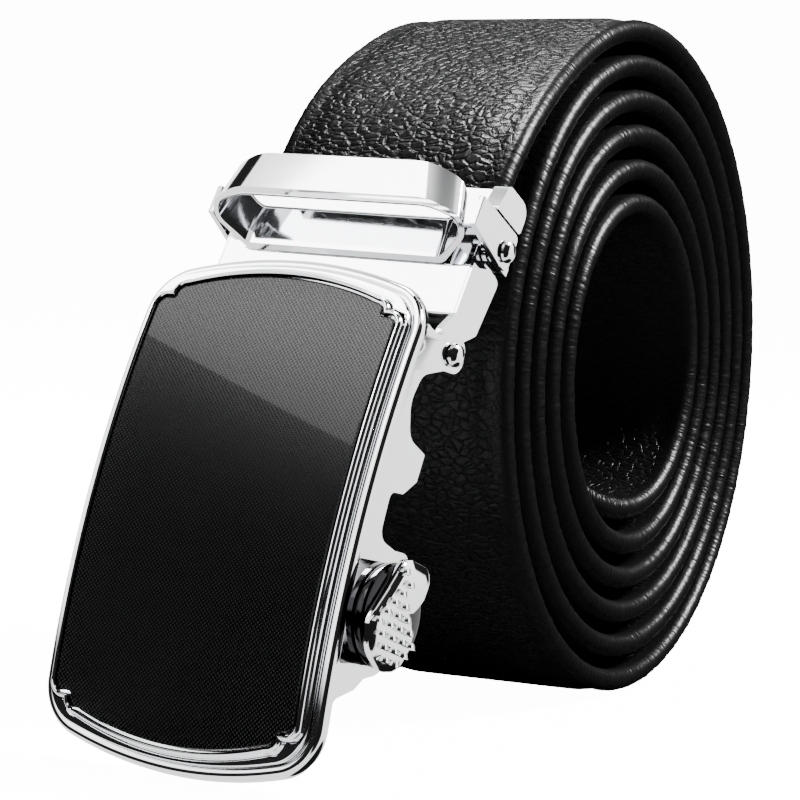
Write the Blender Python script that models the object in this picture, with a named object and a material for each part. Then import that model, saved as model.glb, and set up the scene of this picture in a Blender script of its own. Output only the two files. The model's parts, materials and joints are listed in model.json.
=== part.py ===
"""Ratchet belt: a leather strap coiled like a wheel on its round side, with a clamp and an automatic buckle.

The strap's coil turns about an axis along X. Its outer end leaves the top towards -Y and runs down into the
clamp, and the buckle hangs from the clamp's hinge with its lower end on the floor, at Z = 0. The origin is the
middle of the underside of the whole belt.

Two tilted frames carry the metal. The clamp frame and the buckle frame both start at the hinge pin: local X runs
along the pin, local Z up along the piece and local Y to its back, so a place is written (across, back, up).
"""

import math

import bmesh
import bpy
from mathutils import Matrix, Vector

MM = 0.001
CLEARANCE = 0.3 * MM  # between pieces that touch on the real belt
EMBED = 0.4 * MM  # how far joined shapes run into each other

# Strap
STRAP_WIDTH = 35.0 * MM
STRAP_THICKNESS = 3.6 * MM
EDGE_STEPS = 4  # facets round each rolled edge
COIL_TOP_RADIUS = 46.8 * MM  # middle of the strap, at the top of the outermost turn
COIL_PITCH = 4.82 * MM
COIL_TURNS = 5.68
STEPS_PER_TURN = 32
TIP_LENGTH = 38.0 * MM
TIP_STEPS = 6
TIP_END_SHARE = 0.16  # of the width, left at the very end of the tip
LEAVE_ANGLE = math.radians(20.0)  # from the top, where the strap starts to leave the coil
LEAVE_STEPS = 10
LEAVE_PULL = 0.95  # how strongly the leaving stretch holds its end directions

# Where the buckle assembly stands
HINGE_AHEAD = 65.6 * MM  # hinge pin, in front of the coil's axis
HINGE_ASIDE = 0.9 * MM
BUCKLE_TILT = math.radians(19.2)  # the top leans back
CLAMP_TILT = math.radians(29.7)
ASSEMBLY_YAW = math.radians(-5.9)
ASSEMBLY_ROLL = math.radians(1.9)

# Clamp: a channel with the strap's end inside
CLAMP_SHEET = 0.75 * MM
CLAMP_FACE = 0.5 * MM  # front of the channel, ahead of the hinge pin
CLAMP_PLATE = 1.1 * MM
CLAMP_FOOT = 5.2 * MM  # lower edge of the front plate, above the pin
CLAMP_TOP = 22.9 * MM
CLAMP_BACK = 5.9 * MM  # rear edge of the sides, behind the pin
CHEEK_FOOT = 18.9 * MM  # the raised cheek at the top of each side
CHEEK_BACK = 4.3 * MM
CHEEK_FRONT = 2.2 * MM
LUG_RADIUS = 2.2 * MM
STRAP_END = 4.6 * MM  # the strap's cut end, above the pin

# Keeper loop: a closed slanting band with ears
LOOP_FOOT = 11.5 * MM  # lower edge of the back bar, above the pin
LOOP_HEIGHT = 5.4 * MM
LOOP_FRONT = 8.1 * MM
LOOP_WALL = 1.0 * MM
LOOP_HALF_WIDTH = STRAP_WIDTH / 2 + 2.7 * MM
LOOP_CHEEK_BACK = 1.8 * MM  # widest point, behind the front bar
LOOP_SLANT = 0.65  # rise towards the front, per length
LOOP_FLARE = 1.7 * MM  # how much narrower the front bar is along its upper edge, at each end
LOOP_FLAT_SHARE = 0.79  # half length of the flat bars, as a share of the half width
LOOP_FILLET = 2.2 * MM
EAR_SHEET = 0.75 * MM
EAR_FOOT = 13.5 * MM
EAR_TOP = 18.6 * MM

# Rivets of the clamp, and its door behind the strap
RIVET_UP = 15.7 * MM
RIVET_BACK = 2.6 * MM
RIVET_RADIUS = 0.9 * MM
RIVET_HEAD_RADIUS = 1.45 * MM
RIVET_HEAD_HEIGHT = 0.8 * MM
DOOR_SHEET = 0.55 * MM
DOOR_PLATE = 0.9 * MM
DOOR_FOOT = 6.4 * MM
DOOR_TOP = 15.0 * MM  # below the rivets' axis, so that the door can open
DOOR_CHEEK_FOOT = 13.9 * MM
HOLE_CLEARANCE = 0.2 * MM

# Buckle: face plate, flanges, inlay
PLATE_WIDTH = STRAP_WIDTH + 5.0 * MM  # room for the clamp between the flanges
PLATE_LENGTH = 63.3 * MM
PLATE_THICKNESS = 2.2 * MM
PLATE_BEND = 138.0 * MM  # radius of the plate's long curve
PLATE_END_RADIUS = 56.0 * MM
PLATE_CORNER = 6.4 * MM
BACK_CHAMFER = 0.55 * MM
PIN_ABOVE_MIDDLE = 23.5 * MM  # hinge pin, above the middle of the plate
PIN_BEHIND_FACE = 10.2 * MM
PIN_RADIUS = 1.0 * MM
PIN_HEAD_RADIUS = 1.5 * MM
PIN_HEAD_HEIGHT = 0.9 * MM
FLANGE_SHEET = 1.1 * MM
FLANGE_INSET = 0.1 * MM  # outer side, inside the plate's edge
FLANGE_EAR = 2.5 * MM
FLANGE_WAIST = 4.2 * MM  # depth of the flange at its cut-outs
TOOTH_DEPTH = 9.3 * MM
BULGE_DEPTH = 11.6 * MM
RIM_WIDTH = 1.15 * MM
RIM_ROUND = 0.45 * MM
RIM_RISE = 0.35 * MM  # how far each step stands ahead of the plate's edge
FIELD_RISE = 1.1 * MM
BEAD_RISE = 2.0 * MM
INLAY_RISE = 1.8 * MM
GROOVE_WIDTH = 0.2 * MM
INLAY_HALF_WIDTH = PLATE_WIDTH / 2 - 2.9 * MM
INLAY_HALF_LENGTH = 28.5 * MM
INLAY_NOTCH_ASIDE = 2.3 * MM
INLAY_NOTCH_UP = 24.6 * MM
INLAY_THICKNESS = 0.85 * MM
INLAY_FILLET = 1.3 * MM
INLAY_END_RADIUS = 44.0 * MM
END_STEPS, CORNER_STEPS, SIDE_STEPS = 5, 8, 8  # points along the face plate's outline
OUTLINE_COUNT = 2 * (END_STEPS + CORNER_STEPS + 1) + SIDE_STEPS + 1

# Release lever and pawl
SHAFT_BELOW_MIDDLE = 8.9 * MM
SHAFT_BEHIND_FACE = 7.5 * MM
SHAFT_RADIUS = 1.1 * MM
WASHER_RADIUS = 6.9 * MM
WASHER_HEIGHT = 1.3 * MM
GRIP_BASE = 1.1 * MM  # height of the grip's upright side
GRIP_CROWN = 1.5 * MM
# the grip's outline about the shaft: millimetres down, millimetres back, corner radius
GRIP_CORNERS = (
    (-6.9, -0.6, 1.4), (-6.4, -2.4, 1.4), (-2.9, -4.2, 5.0), (1.3, -6.6, 2.6), (5.0, -5.2, 3.0), (6.6, -1.6, 2.6),
    (5.9, 1.6, 2.4), (2.2, 3.4, 2.2), (-0.6, 1.2, 1.2), (-1.8, -0.9, 0.7), (-3.6, 2.4, 1.6), (-6.4, 2.9, 1.9),
)
TONGUE_LENGTH = 6.0 * MM
TONGUE_THICKNESS = 1.5 * MM
TONGUE_HALF_WIDTH = STRAP_WIDTH / 2 - 4.5 * MM
TONGUE_LEAN = math.radians(14.0)

CHROME = (0.86, 0.87, 0.89)
LEATHER = (0.012, 0.012, 0.013)
GLOSS_BLACK = (0.01, 0.01, 0.012)


def clear_scene():
    for item in list(bpy.data.objects):
        bpy.data.objects.remove(item)


def make_collection(name):
    group = bpy.data.collections.new(name)
    bpy.context.scene.collection.children.link(group)
    return group


def make_material(name, colour, roughness, metallic):
    material = bpy.data.materials.new(name)
    material.use_nodes = True
    shader = material.node_tree.nodes["Principled BSDF"]
    shader.inputs["Base Color"].default_value = (*colour, 1.0)
    shader.inputs["Roughness"].default_value = roughness
    shader.inputs["Metallic"].default_value = metallic
    return material


def add_piece(name, mesh, group, material, parent=None):
    """Link a mesh as a named piece, smooth where its faces meet gently."""
    mesh.name = name
    mesh.materials.clear()
    mesh.materials.append(material)
    mesh.shade_smooth()
    mesh.set_sharp_from_angle(angle=math.radians(32.0))
    piece = bpy.data.objects.new(name, mesh)
    group.objects.link(piece)
    piece.parent = parent
    return piece


def mesh_of(points, faces, name="shape"):
    mesh = bpy.data.meshes.new(name)
    mesh.from_pydata([tuple(p) for p in points], [], faces)
    mesh.validate()
    return mesh


def arc(centre, radius, start, end, steps):
    """Points on a circle from one angle to another, both in degrees and both included."""
    angles = [math.radians(start + (end - start) * i / steps) for i in range(steps + 1)]
    return [(centre[0] + radius * math.cos(a), centre[1] + radius * math.sin(a)) for a in angles]


def filleted(corners, steps=4):
    """A closed outline from (x, y, radius) corners, with an arc in place of each corner that has a radius."""
    outline = []
    count = len(corners)
    for i, (x, y, radius) in enumerate(corners):
        corner = Vector((x, y))
        before = Vector(corners[i - 1][:2]) - corner
        after = Vector(corners[(i + 1) % count][:2]) - corner
        half = before.angle(after) / 2
        if radius <= 0 or half > math.radians(89.0):
            outline.append((x, y))
            continue
        reach = min(radius / math.tan(half), 0.48 * before.length, 0.48 * after.length)
        radius = reach * math.tan(half)
        middle = corner + (before.normalized() + after.normalized()).normalized() * radius / math.sin(half)
        start = corner + before.normalized() * reach - middle
        end = corner + after.normalized() * reach - middle
        turn = start.angle_signed(end)
        for step in range(steps + 1):
            outline.append(tuple(middle + Matrix.Rotation(-turn * step / steps, 2) @ start))
    return outline


def slab(outlines, thickness, matrix):
    """A flat plate from closed 2D outlines, the later ones being holes, as a mesh placed by a matrix."""
    curve = bpy.data.curves.new("outline", "CURVE")
    curve.dimensions = "2D"
    curve.fill_mode = "BOTH"
    curve.extrude = thickness / 2
    for outline in outlines:
        spline = curve.splines.new("POLY")
        spline.points.add(len(outline) - 1)
        for point, (x, y) in zip(spline.points, outline):
            point.co = (x, y, 0.0, 1.0)
        spline.use_cyclic_u = True
    holder = bpy.data.objects.new("outline", curve)
    bpy.context.scene.collection.objects.link(holder)
    bpy.context.view_layer.update()
    mesh = bpy.data.meshes.new_from_object(holder.evaluated_get(bpy.context.evaluated_depsgraph_get()))
    bpy.data.objects.remove(holder)
    weld(mesh)
    mesh.transform(matrix)
    return mesh


def weld(mesh):

    body = bmesh.new()
    body.from_mesh(mesh)
    bmesh.ops.remove_doubles(body, verts=body.verts, dist=1e-6)
    bmesh.ops.recalc_face_normals(body, faces=body.faces)
    body.to_mesh(mesh)
    body.free()


def side_plate(outlines, thickness, across):
    """A plate that lies in the local YZ plane, from (back, up) outlines, with its middle at one place across."""
    to_side = Matrix(((0, 0, 1, across), (1, 0, 0, 0), (0, 1, 0, 0), (0, 0, 0, 1)))
    return slab(outlines, thickness, to_side)


def rod(radius, start, end, place, sides=16):
    """A round bar along local X, from one place across to another, about a (back, up) axis."""
    return side_plate([arc(place, radius, 0, 360 - 360 / sides, sides - 1)], end - start, (start + end) / 2)


def box(low, high):

    body = bmesh.new()
    bmesh.ops.create_cube(body, size=1.0)
    size = Vector(high) - Vector(low)
    bmesh.ops.scale(body, vec=size, verts=body.verts)
    bmesh.ops.translate(body, vec=(Vector(low) + Vector(high)) / 2, verts=body.verts)
    mesh = bpy.data.meshes.new("box")
    body.to_mesh(mesh)
    body.free()
    return mesh


def joined(first, others, operation="UNION"):
    """The first mesh with the others added to it, or cut from it, in turn."""
    result = first
    for other in others:
        body = bpy.data.objects.new("body", result)
        tool = bpy.data.objects.new("tool", other)
        bpy.context.scene.collection.objects.link(body)
        bpy.context.scene.collection.objects.link(tool)
        boolean = body.modifiers.new("join", "BOOLEAN")
        boolean.operation = operation
        boolean.solver = "EXACT"
        boolean.object = tool
        bpy.context.view_layer.update()
        result = bpy.data.meshes.new_from_object(body.evaluated_get(bpy.context.evaluated_depsgraph_get()))
        bpy.data.objects.remove(body)
        bpy.data.objects.remove(tool)
    weld(result)
    return result


def lofted(sections, close_ends=True):
    """A skin over equal-length closed sections, with a flat face on the first and the last."""
    points = [p for section in sections for p in section]
    count = len(sections[0])
    faces = []
    for row in range(len(sections) - 1):
        for i in range(count):
            j = (i + 1) % count
            a, b = row * count, (row + 1) * count
            faces.append((a + i, a + j, b + j, b + i))
    if close_ends:
        faces.append(tuple(reversed(range(count))))
        faces.append(tuple(range((len(sections) - 1) * count, len(sections) * count)))
    mesh = mesh_of(points, faces)
    weld(mesh)
    return mesh


def lowest_coil_angle():
    """The angle from the top at which the outermost turn is lowest, which is just before half a turn."""
    return math.pi - math.atan(COIL_PITCH / (2 * math.pi * COIL_TOP_RADIUS - math.pi * COIL_PITCH))


def coil_radius(angle):
    return COIL_TOP_RADIUS - COIL_PITCH * angle / (2 * math.pi)


def coil_axis_height():
    """Height of the coil's axis when the middle of its lowest facet lies on the floor."""
    half_step = math.pi / STEPS_PER_TURN
    return coil_radius(lowest_coil_angle()) * math.cos(half_step) + STRAP_THICKNESS / 2


def assembly_frame(origin, tilt):
    turn = Matrix.Rotation(ASSEMBLY_YAW, 4, "Z") @ Matrix.Rotation(ASSEMBLY_ROLL, 4, "Y")
    return Matrix.Translation(origin) @ turn @ Matrix.Rotation(-tilt, 4, "X")


def hinge_point():
    """The hinge pin's middle: as high as the buckle needs to stand on its lower end."""
    frame = assembly_frame((0, 0, 0), BUCKLE_TILT)
    rows = ((0.0, PLATE_THICKNESS - 2 * BACK_CHAMFER), (BACK_CHAMFER, PLATE_THICKNESS))
    lowest = min(
        (frame @ Vector((u, buckle_back(depth, s), buckle_up(s)))).z
        for inset, depth in rows for u, s in plate_outline(inset)
    )
    return Vector((HINGE_ASIDE, -HINGE_AHEAD, -lowest))


def buckle_up(down):
    """Local height of a place that is so far below the middle of the face plate."""
    return -down - PIN_ABOVE_MIDDLE


def buckle_back(depth, down=0.0):
    """Local Y of a place that is so far behind the curved face plate's front."""
    sag = PLATE_BEND - math.sqrt(PLATE_BEND**2 - down**2)
    return depth + sag - PIN_BEHIND_FACE


# The strap


def strap_section(centre, across, outward, half_width):
    """A flat section with rolled edges, as points in space."""
    radius = min(STRAP_THICKNESS / 2, half_width * 0.98)
    flat = half_width - radius
    outline = arc((flat, 0), 1.0, -90, 90, EDGE_STEPS) + arc((-flat, 0), 1.0, 90, 270, EDGE_STEPS)
    points = []
    for x, y in outline:
        side = flat if x > flat or (abs(x - flat) < 1e-9 and x > 0) else -flat
        points.append(centre + across * (side + (x - side) * radius) + outward * y * STRAP_THICKNESS / 2)
    return points


def strap_stations(clamp):
    """Rows of (middle, across, outward, half width) from the free tip to the end held in the clamp."""
    lift = Vector((0, 0, coil_axis_height()))
    x_axis = Vector((1, 0, 0))
    step = 2 * math.pi / STEPS_PER_TURN
    first = lowest_coil_angle() - step / 2
    last = 2 * math.pi * COIL_TURNS
    angles = [first + i * step for i in range(-40, 400) if -LEAVE_ANGLE < first + i * step < last]
    inner = coil_radius(last)
    for i in range(TIP_STEPS + 1):
        share = (i + 0.5) / (TIP_STEPS + 0.5)
        angles.append(last - TIP_LENGTH * (1 - math.sqrt(share)) / inner)
    angles = sorted(a for a in set(angles) if a <= last)
    rows = []
    for angle in reversed(angles):
        radius = coil_radius(angle)
        middle = Vector((0, radius * math.sin(angle), radius * math.cos(angle))) + lift
        outward = Vector((0, math.sin(angle), math.cos(angle)))
        from_tip = (last - angle) * inner
        share = min(from_tip / TIP_LENGTH, 1.0)
        taper = TIP_END_SHARE + (1 - TIP_END_SHARE) * math.sqrt(1 - (1 - share) ** 2.2)
        if rows and (middle - rows[-1][0]).length < 0.8 * MM:
            continue
        rows.append((middle, x_axis, outward, taper * STRAP_WIDTH / 2))
    start, start_out = rows[-1][0], rows[-1][2]
    start_way = x_axis.cross(start_out)
    turn = clamp.to_3x3()
    end_way = turn @ Vector((0, 0, -1))
    strap_back = strap_middle_back()
    end = clamp @ Vector((0, strap_back, CLAMP_TOP - 1.0 * MM))
    pull = (end - start).length * LEAVE_PULL
    end_across = turn @ x_axis
    for i in range(1, LEAVE_STEPS + 1):
        t = i / LEAVE_STEPS
        h00, h10 = 2 * t**3 - 3 * t**2 + 1, t**3 - 2 * t**2 + t
        h01, h11 = 3 * t**2 - 2 * t**3, t**3 - t**2
        middle = start * h00 + start_way * pull * h10 + end * h01 + end_way * pull * h11
        d00, d10 = 6 * t**2 - 6 * t, 3 * t**2 - 4 * t + 1
        d01, d11 = 6 * t - 6 * t**2, 3 * t**2 - 2 * t
        way = (start * d00 + start_way * pull * d10 + end * d01 + end_way * pull * d11).normalized()
        across = x_axis.lerp(end_across, t * t * (3 - 2 * t))
        across = (across - way * across.dot(way)).normalized()
        rows.append((middle, across, way.cross(across), STRAP_WIDTH / 2))
    for up in (CLAMP_TOP * 0.5, STRAP_END):
        rows.append((clamp @ Vector((0, strap_back, up)), end_across, turn @ Vector((0, -1, 0)), STRAP_WIDTH / 2))
    return rows


def strap_middle_back():
    """Local Y of the strap's middle inside the clamp."""
    return -CLAMP_FACE + CLAMP_PLATE + CLEARANCE + STRAP_THICKNESS / 2


def make_strap(clamp):
    return lofted([strap_section(*row) for row in strap_stations(clamp)])


# The clamp


def clamp_side_across():
    """Middle of the clamp's side sheet."""
    return STRAP_WIDTH / 2 + CLEARANCE + CLAMP_SHEET / 2


def clamp_outer():
    return clamp_side_across() + CLAMP_SHEET / 2


def make_clamp_base():
    """Front plate between two sides. Each side ends in a lug below and in a raised cheek above."""
    front, inner = -CLAMP_FACE, -CLAMP_FACE + CLAMP_PLATE
    door_gap = RIVET_BACK + RIVET_RADIUS + 0.9 * MM
    side = filleted([
        (front, CLAMP_FOOT, 0.6 * MM),
        (front, CLAMP_TOP, 0.8 * MM),
        (CHEEK_BACK, CLAMP_TOP, 2.0 * MM),
        (CHEEK_BACK, CHEEK_FOOT, 0.4 * MM),
        (door_gap, CHEEK_FOOT - 0.5 * MM, 0.4 * MM),
        (door_gap, DOOR_CHEEK_FOOT - 0.6 * MM, 0.4 * MM),
        (CLAMP_BACK, DOOR_CHEEK_FOOT - 0.9 * MM, 0.8 * MM),
        (CLAMP_BACK - 0.8 * MM, CLAMP_FOOT, 0.8 * MM),
        (LUG_RADIUS * 0.98, LUG_RADIUS * 1.1, 1.5 * MM),
        (LUG_RADIUS * 0.98, -LUG_RADIUS * 0.98, LUG_RADIUS * 0.95),
        (-LUG_RADIUS * 0.98, -LUG_RADIUS * 0.98, LUG_RADIUS * 0.95),
        (-LUG_RADIUS * 0.98, LUG_RADIUS * 1.1, 0.8 * MM),
    ])
    pin_hole = arc((0, 0), PIN_RADIUS + HOLE_CLEARANCE, 0, 337.5, 15)
    rivet_hole = arc((RIVET_BACK, RIVET_UP), RIVET_RADIUS + HOLE_CLEARANCE, 0, 330, 11)
    cheek = filleted([
        (-CHEEK_FRONT, CHEEK_FOOT, 0.3 * MM),
        (-CHEEK_FRONT + 0.9 * MM, CLAMP_TOP - 0.2 * MM, 0.8 * MM),
        (CHEEK_BACK - 0.1 * MM, CLAMP_TOP - 0.2 * MM, 2.2 * MM),
        (CHEEK_BACK - 0.1 * MM, CHEEK_FOOT, 0.5 * MM),
    ])
    shapes = []
    outer = ear_across() + EAR_SHEET / 2
    start = clamp_outer() - EMBED
    for sign in (-1, 1):
        shapes.append(side_plate([side, pin_hole, rivet_hole], CLAMP_SHEET, sign * clamp_side_across()))
        shapes.append(side_plate([cheek], outer - start, sign * (start + outer) / 2))
    reach = clamp_side_across()
    proud = 0.06 * MM
    return joined(box((-reach, front - proud, CLAMP_FOOT + proud), (reach, inner, CLAMP_TOP - 0.5 * MM)), shapes)


def loop_outline(inset, flare):
    """The loop seen from above, (across, back): flat bars, with the widest point between them."""
    front, back = -LOOP_FRONT, -CLAMP_FACE - CLEARANCE
    widest = front + LOOP_CHEEK_BACK
    flat = LOOP_HALF_WIDTH * LOOP_FLAT_SHARE
    wide = LOOP_HALF_WIDTH - inset * 1.15
    lean = inset * 0.35
    return filleted([
        (-flat + lean + flare, front + inset, LOOP_FILLET), (flat - lean - flare, front + inset, LOOP_FILLET),
        (wide - flare, widest, LOOP_FILLET - inset / 2), (flat - lean, back - inset, LOOP_FILLET),
        (-flat + lean, back - inset, LOOP_FILLET), (-wide + flare, widest, LOOP_FILLET - inset / 2),
    ])


def loop_level(outline, height):
    """A loop outline in space, rising towards the front by the loop's slant."""
    back = -CLAMP_FACE - CLEARANCE
    return [Vector((x, y, LOOP_FOOT + height + LOOP_SLANT * (back - y))) for x, y in outline]


def make_keeper_loop():
    """A closed band, with an ear behind each of its widest corners that the clamp's rivet holds."""
    round_off = 0.25 * MM
    rows = (
        (0.0, 0.0, round_off), (0.0, 1.0, LOOP_HEIGHT - round_off), (round_off, 1.0, LOOP_HEIGHT),
        (LOOP_WALL - round_off, 1.0, LOOP_HEIGHT), (LOOP_WALL, 1.0, LOOP_HEIGHT - round_off),
        (LOOP_WALL, 0.0, round_off), (LOOP_WALL - round_off, 0.0, 0.0), (round_off, 0.0, 0.0), (0.0, 0.0, round_off),
    )
    sections = [loop_level(loop_outline(inset, share * LOOP_FLARE), height) for inset, share, height in rows]
    band = lofted(sections, close_ends=False)
    widest = -LOOP_FRONT + LOOP_CHEEK_BACK
    outline = filleted([
        (widest - 0.5 * MM, EAR_TOP, 0.0),
        (widest - 0.5 * MM, EAR_FOOT + 1.2 * MM, 0.0),
        (RIVET_BACK - 0.6 * MM, EAR_FOOT, 1.2 * MM),
        (CHEEK_BACK, EAR_FOOT, 2.2 * MM),
        (CHEEK_BACK, EAR_TOP, 0.8 * MM),
    ])
    hole = arc((RIVET_BACK, RIVET_UP), RIVET_RADIUS + HOLE_CLEARANCE, 0, 330, 11)
    ears = []
    inner, outer = LOOP_HALF_WIDTH - LOOP_FLARE, ear_across() + EAR_SHEET / 2 - 0.05 * MM
    for sign in (-1, 1):
        ears.append(side_plate([outline, hole], EAR_SHEET, sign * ear_across()))
        # a knuckle joins the ear to the slanting band's widest corner
        low = (min(sign * inner, sign * outer), widest - 0.45 * MM, EAR_FOOT + 1.9 * MM)
        high = (max(sign * inner, sign * outer), widest + 1.3 * MM, EAR_TOP - 0.3 * MM)
        ears.append(box(low, high))
    return joined(band, ears)


def door_across():
    """Middle of the door's cheek, outside the clamp's side."""
    return clamp_outer() + HOLE_CLEARANCE + DOOR_SHEET / 2


def ear_across():
    """Middle of the keeper loop's ear, outside the door's cheek."""
    return door_across() + DOOR_SHEET / 2 + HOLE_CLEARANCE + EAR_SHEET / 2


def make_clamp_door():
    """Plate behind the strap with a cheek round each rivet. Its origin lies on the rivets' axis."""
    plate_front = strap_middle_back() + STRAP_THICKNESS / 2 + CLEARANCE - RIVET_BACK
    plate_back = plate_front + DOOR_PLATE
    low, high = DOOR_FOOT - RIVET_UP, DOOR_TOP - RIVET_UP
    cheek_low = DOOR_CHEEK_FOOT - RIVET_UP
    inner = STRAP_WIDTH / 2 - 0.1 * MM
    outer = door_across() + DOOR_SHEET / 2
    trim = 0.05 * MM
    ring = RIVET_RADIUS + 0.8 * MM
    cheek = filleted([
        (-ring, -ring, ring * 0.9), (plate_front + EMBED, cheek_low + trim, 0.0),
        (plate_front + EMBED, high - trim, 0.0), (ring, high - trim, 0.0),
        (ring, ring, ring * 0.9), (-ring, ring, ring * 0.9),
    ])
    hole = arc((0, 0), RIVET_RADIUS + HOLE_CLEARANCE, 0, 330, 11)
    shapes = [box((-outer - trim, plate_front, cheek_low), (outer + trim, plate_back, high))]
    shapes.append(box((-inner, plate_front + trim, low), (inner, plate_back - trim, cheek_low + EMBED)))
    for sign in (-1, 1):
        shapes.append(side_plate([cheek, hole], DOOR_SHEET, sign * door_across()))
    return joined(shapes[0], shapes[1:])


def domed_bar(radius, head_radius, head_height, start, end, place, heads):
    """A round bar along X with a domed head beyond the ends named in heads (-1, 1 or both)."""
    shapes = [rod(radius, start, end, place)]
    for sign in heads:
        edge = end if sign > 0 else start
        profile = [
            (head_radius, 0.0), (head_radius * 0.98, head_height * 0.35), (head_radius * 0.8, head_height * 0.72),
            (head_radius * 0.45, head_height * 0.95),
        ]
        sections = []
        for r, h in [(head_radius, -0.0)] + profile[1:]:
            ring = arc((0, 0), r, 0, 337.5, 15)
            sections.append([Vector((edge + sign * h, place[0] + x, place[1] + y)) for x, y in ring])
        shapes.append(lofted(sections))
        overlap = rod(radius, edge - EMBED, edge + EMBED, place)
        shapes[-1] = joined(shapes[-1], [overlap])
    return joined(shapes[0], shapes[1:])


def make_rivet(sign):
    inner = STRAP_WIDTH / 2 + 0.12 * MM
    outer = ear_across() + EAR_SHEET / 2 + 0.15 * MM
    start, end = (inner, outer) if sign > 0 else (-outer, -inner)
    return domed_bar(
        RIVET_RADIUS, RIVET_HEAD_RADIUS, RIVET_HEAD_HEIGHT, start, end, (RIVET_BACK, RIVET_UP), (sign,)
    )


# The buckle


def half_outline(points):
    """Close a right-hand half outline, top to bottom, with its mirror image."""
    return points + [(-u, s) for u, s in reversed(points) if abs(u) > 1e-9]


def plate_half(inset):
    """Right-hand half of the face plate's outline, (across, down), set in by a distance all round."""
    half_w, half_l = PLATE_WIDTH / 2 - inset, PLATE_LENGTH / 2 - inset
    end_radius = PLATE_END_RADIUS - inset
    corner = max(PLATE_CORNER - inset, 0.3 * MM)
    # the corner arc touches the side and, from inside, the bowed end
    centre_x = half_w - corner
    end_centre = -half_l + end_radius
    centre_y = end_centre - math.sqrt((end_radius - corner) ** 2 - centre_x**2)
    lean = math.degrees(math.asin(centre_x / (end_radius - corner)))
    upper = arc((0.0, end_centre), end_radius, -90, -90 + lean, END_STEPS)
    upper += arc((centre_x, centre_y), corner, -90 + lean, 0, CORNER_STEPS)[1:]
    side = [(half_w, centre_y * (1 - 2 * i / SIDE_STEPS)) for i in range(1, SIDE_STEPS)]
    lower = [(u, -s) for u, s in reversed(upper)]
    return upper + side + lower


def plate_outline(inset):
    return half_outline(plate_half(inset))


def inlay_half(inset):
    """Right-hand half of the inlay's outline: a bowed end, a stepped corner, a straight side."""
    half_w, half_l = INLAY_HALF_WIDTH - inset, INLAY_HALF_LENGTH - inset
    shoulder = half_w - INLAY_NOTCH_ASIDE
    r = INLAY_FILLET
    outer, inner = r - inset / 2, r * 0.35 + inset / 2
    end_centre = -half_l + INLAY_END_RADIUS
    lean = math.asin((shoulder - outer) / INLAY_END_RADIUS)
    upper = arc((0.0, end_centre), INLAY_END_RADIUS, -90, -90 + math.degrees(lean), END_STEPS)
    start = upper[-1][1]
    notch = -INLAY_NOTCH_UP + inset
    upper += arc((shoulder - outer, start + outer), outer, -66, 0, 2)
    upper += arc((shoulder + inner, notch - inner), inner, 180, 90, 2)
    upper += arc((half_w - outer, notch + outer), outer, -78, 0, 2)
    side = [(half_w, upper[-1][1] * (1 - 2 * i / SIDE_STEPS)) for i in range(1, SIDE_STEPS)]
    lower = [(u, -s) for u, s in reversed(upper)]
    return upper + side + lower


def curved_loop(half, depth):
    """A mirrored closed loop of points at one depth behind the curved face."""
    return [Vector((u, buckle_back(depth, s), buckle_up(s))) for u, s in half_outline(half)]


def laddered(loops, half_count):
    """A solid from nested closed loops, its first and last loop filled by rungs from side to side."""
    points = [p for loop in loops for p in loop]
    count = len(loops[0])
    faces = []
    for row in range(len(loops) - 1):
        for i in range(count):
            j = (i + 1) % count
            a, b = row * count, (row + 1) * count
            faces.append((a + i, a + j, b + j, b + i))
    for base in (0, (len(loops) - 1) * count):
        for i in range(half_count - 1):
            quad = [i, i + 1, (count - i - 1) % count, (count - i) % count]
            quad = [base + k for k in dict.fromkeys(quad)]
            if len(quad) > 2:
                faces.append(tuple(quad))
    mesh = mesh_of(points, faces)
    weld(mesh)
    return mesh


def make_face_plate():
    """Face plate that rises in steps: a rolled rim, a groove, a field, a groove and a bead round the inlay."""
    step = RIM_WIDTH + GROOVE_WIDTH
    pocket = -CLEARANCE
    crest = pocket - 0.35 * MM
    foot = crest - GROOVE_WIDTH
    rows = [
        (plate_half(BACK_CHAMFER), PLATE_THICKNESS),
        (plate_half(0.0), PLATE_THICKNESS - 2 * BACK_CHAMFER),
        (plate_half(0.0), RIM_ROUND),
        (plate_half(RIM_ROUND * 0.4), -RIM_RISE * 0.5),
        (plate_half(RIM_ROUND * 1.2), -RIM_RISE),
        (plate_half(RIM_WIDTH), -RIM_RISE),
        (plate_half(RIM_WIDTH + 0.05 * MM), -RIM_RISE * 0.3),
        (plate_half(step), -RIM_RISE * 0.3),
        (plate_half(step + 0.12 * MM), -FIELD_RISE),
        (inlay_half(foot - 0.1 * MM), -FIELD_RISE),
        (inlay_half(foot), -FIELD_RISE + 0.25 * MM),
        (inlay_half(crest - 0.02 * MM), -FIELD_RISE + 0.25 * MM),
        (inlay_half(crest + 0.03 * MM), -BEAD_RISE + 0.1 * MM),
        (inlay_half(crest + 0.12 * MM), -BEAD_RISE),
        (inlay_half(pocket - 0.08 * MM), -BEAD_RISE),
        (inlay_half(pocket), -INLAY_RISE + INLAY_THICKNESS + CLEARANCE),
    ]
    return laddered([curved_loop(resampled(half), depth) for half, depth in rows], OUTLINE_COUNT)


def resampled(half):
    """Add a point next to each corner of a shorter half outline, so that all the loops match."""
    missing = OUTLINE_COUNT - len(half)
    if missing == 0:
        return half
    return [half[0], midpoint(half[0], half[1])] + half[1:-1] + [midpoint(half[-2], half[-1]), half[-1]]


def midpoint(a, b):
    return ((a[0] + b[0]) / 2, (a[1] + b[1]) / 2)


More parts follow.
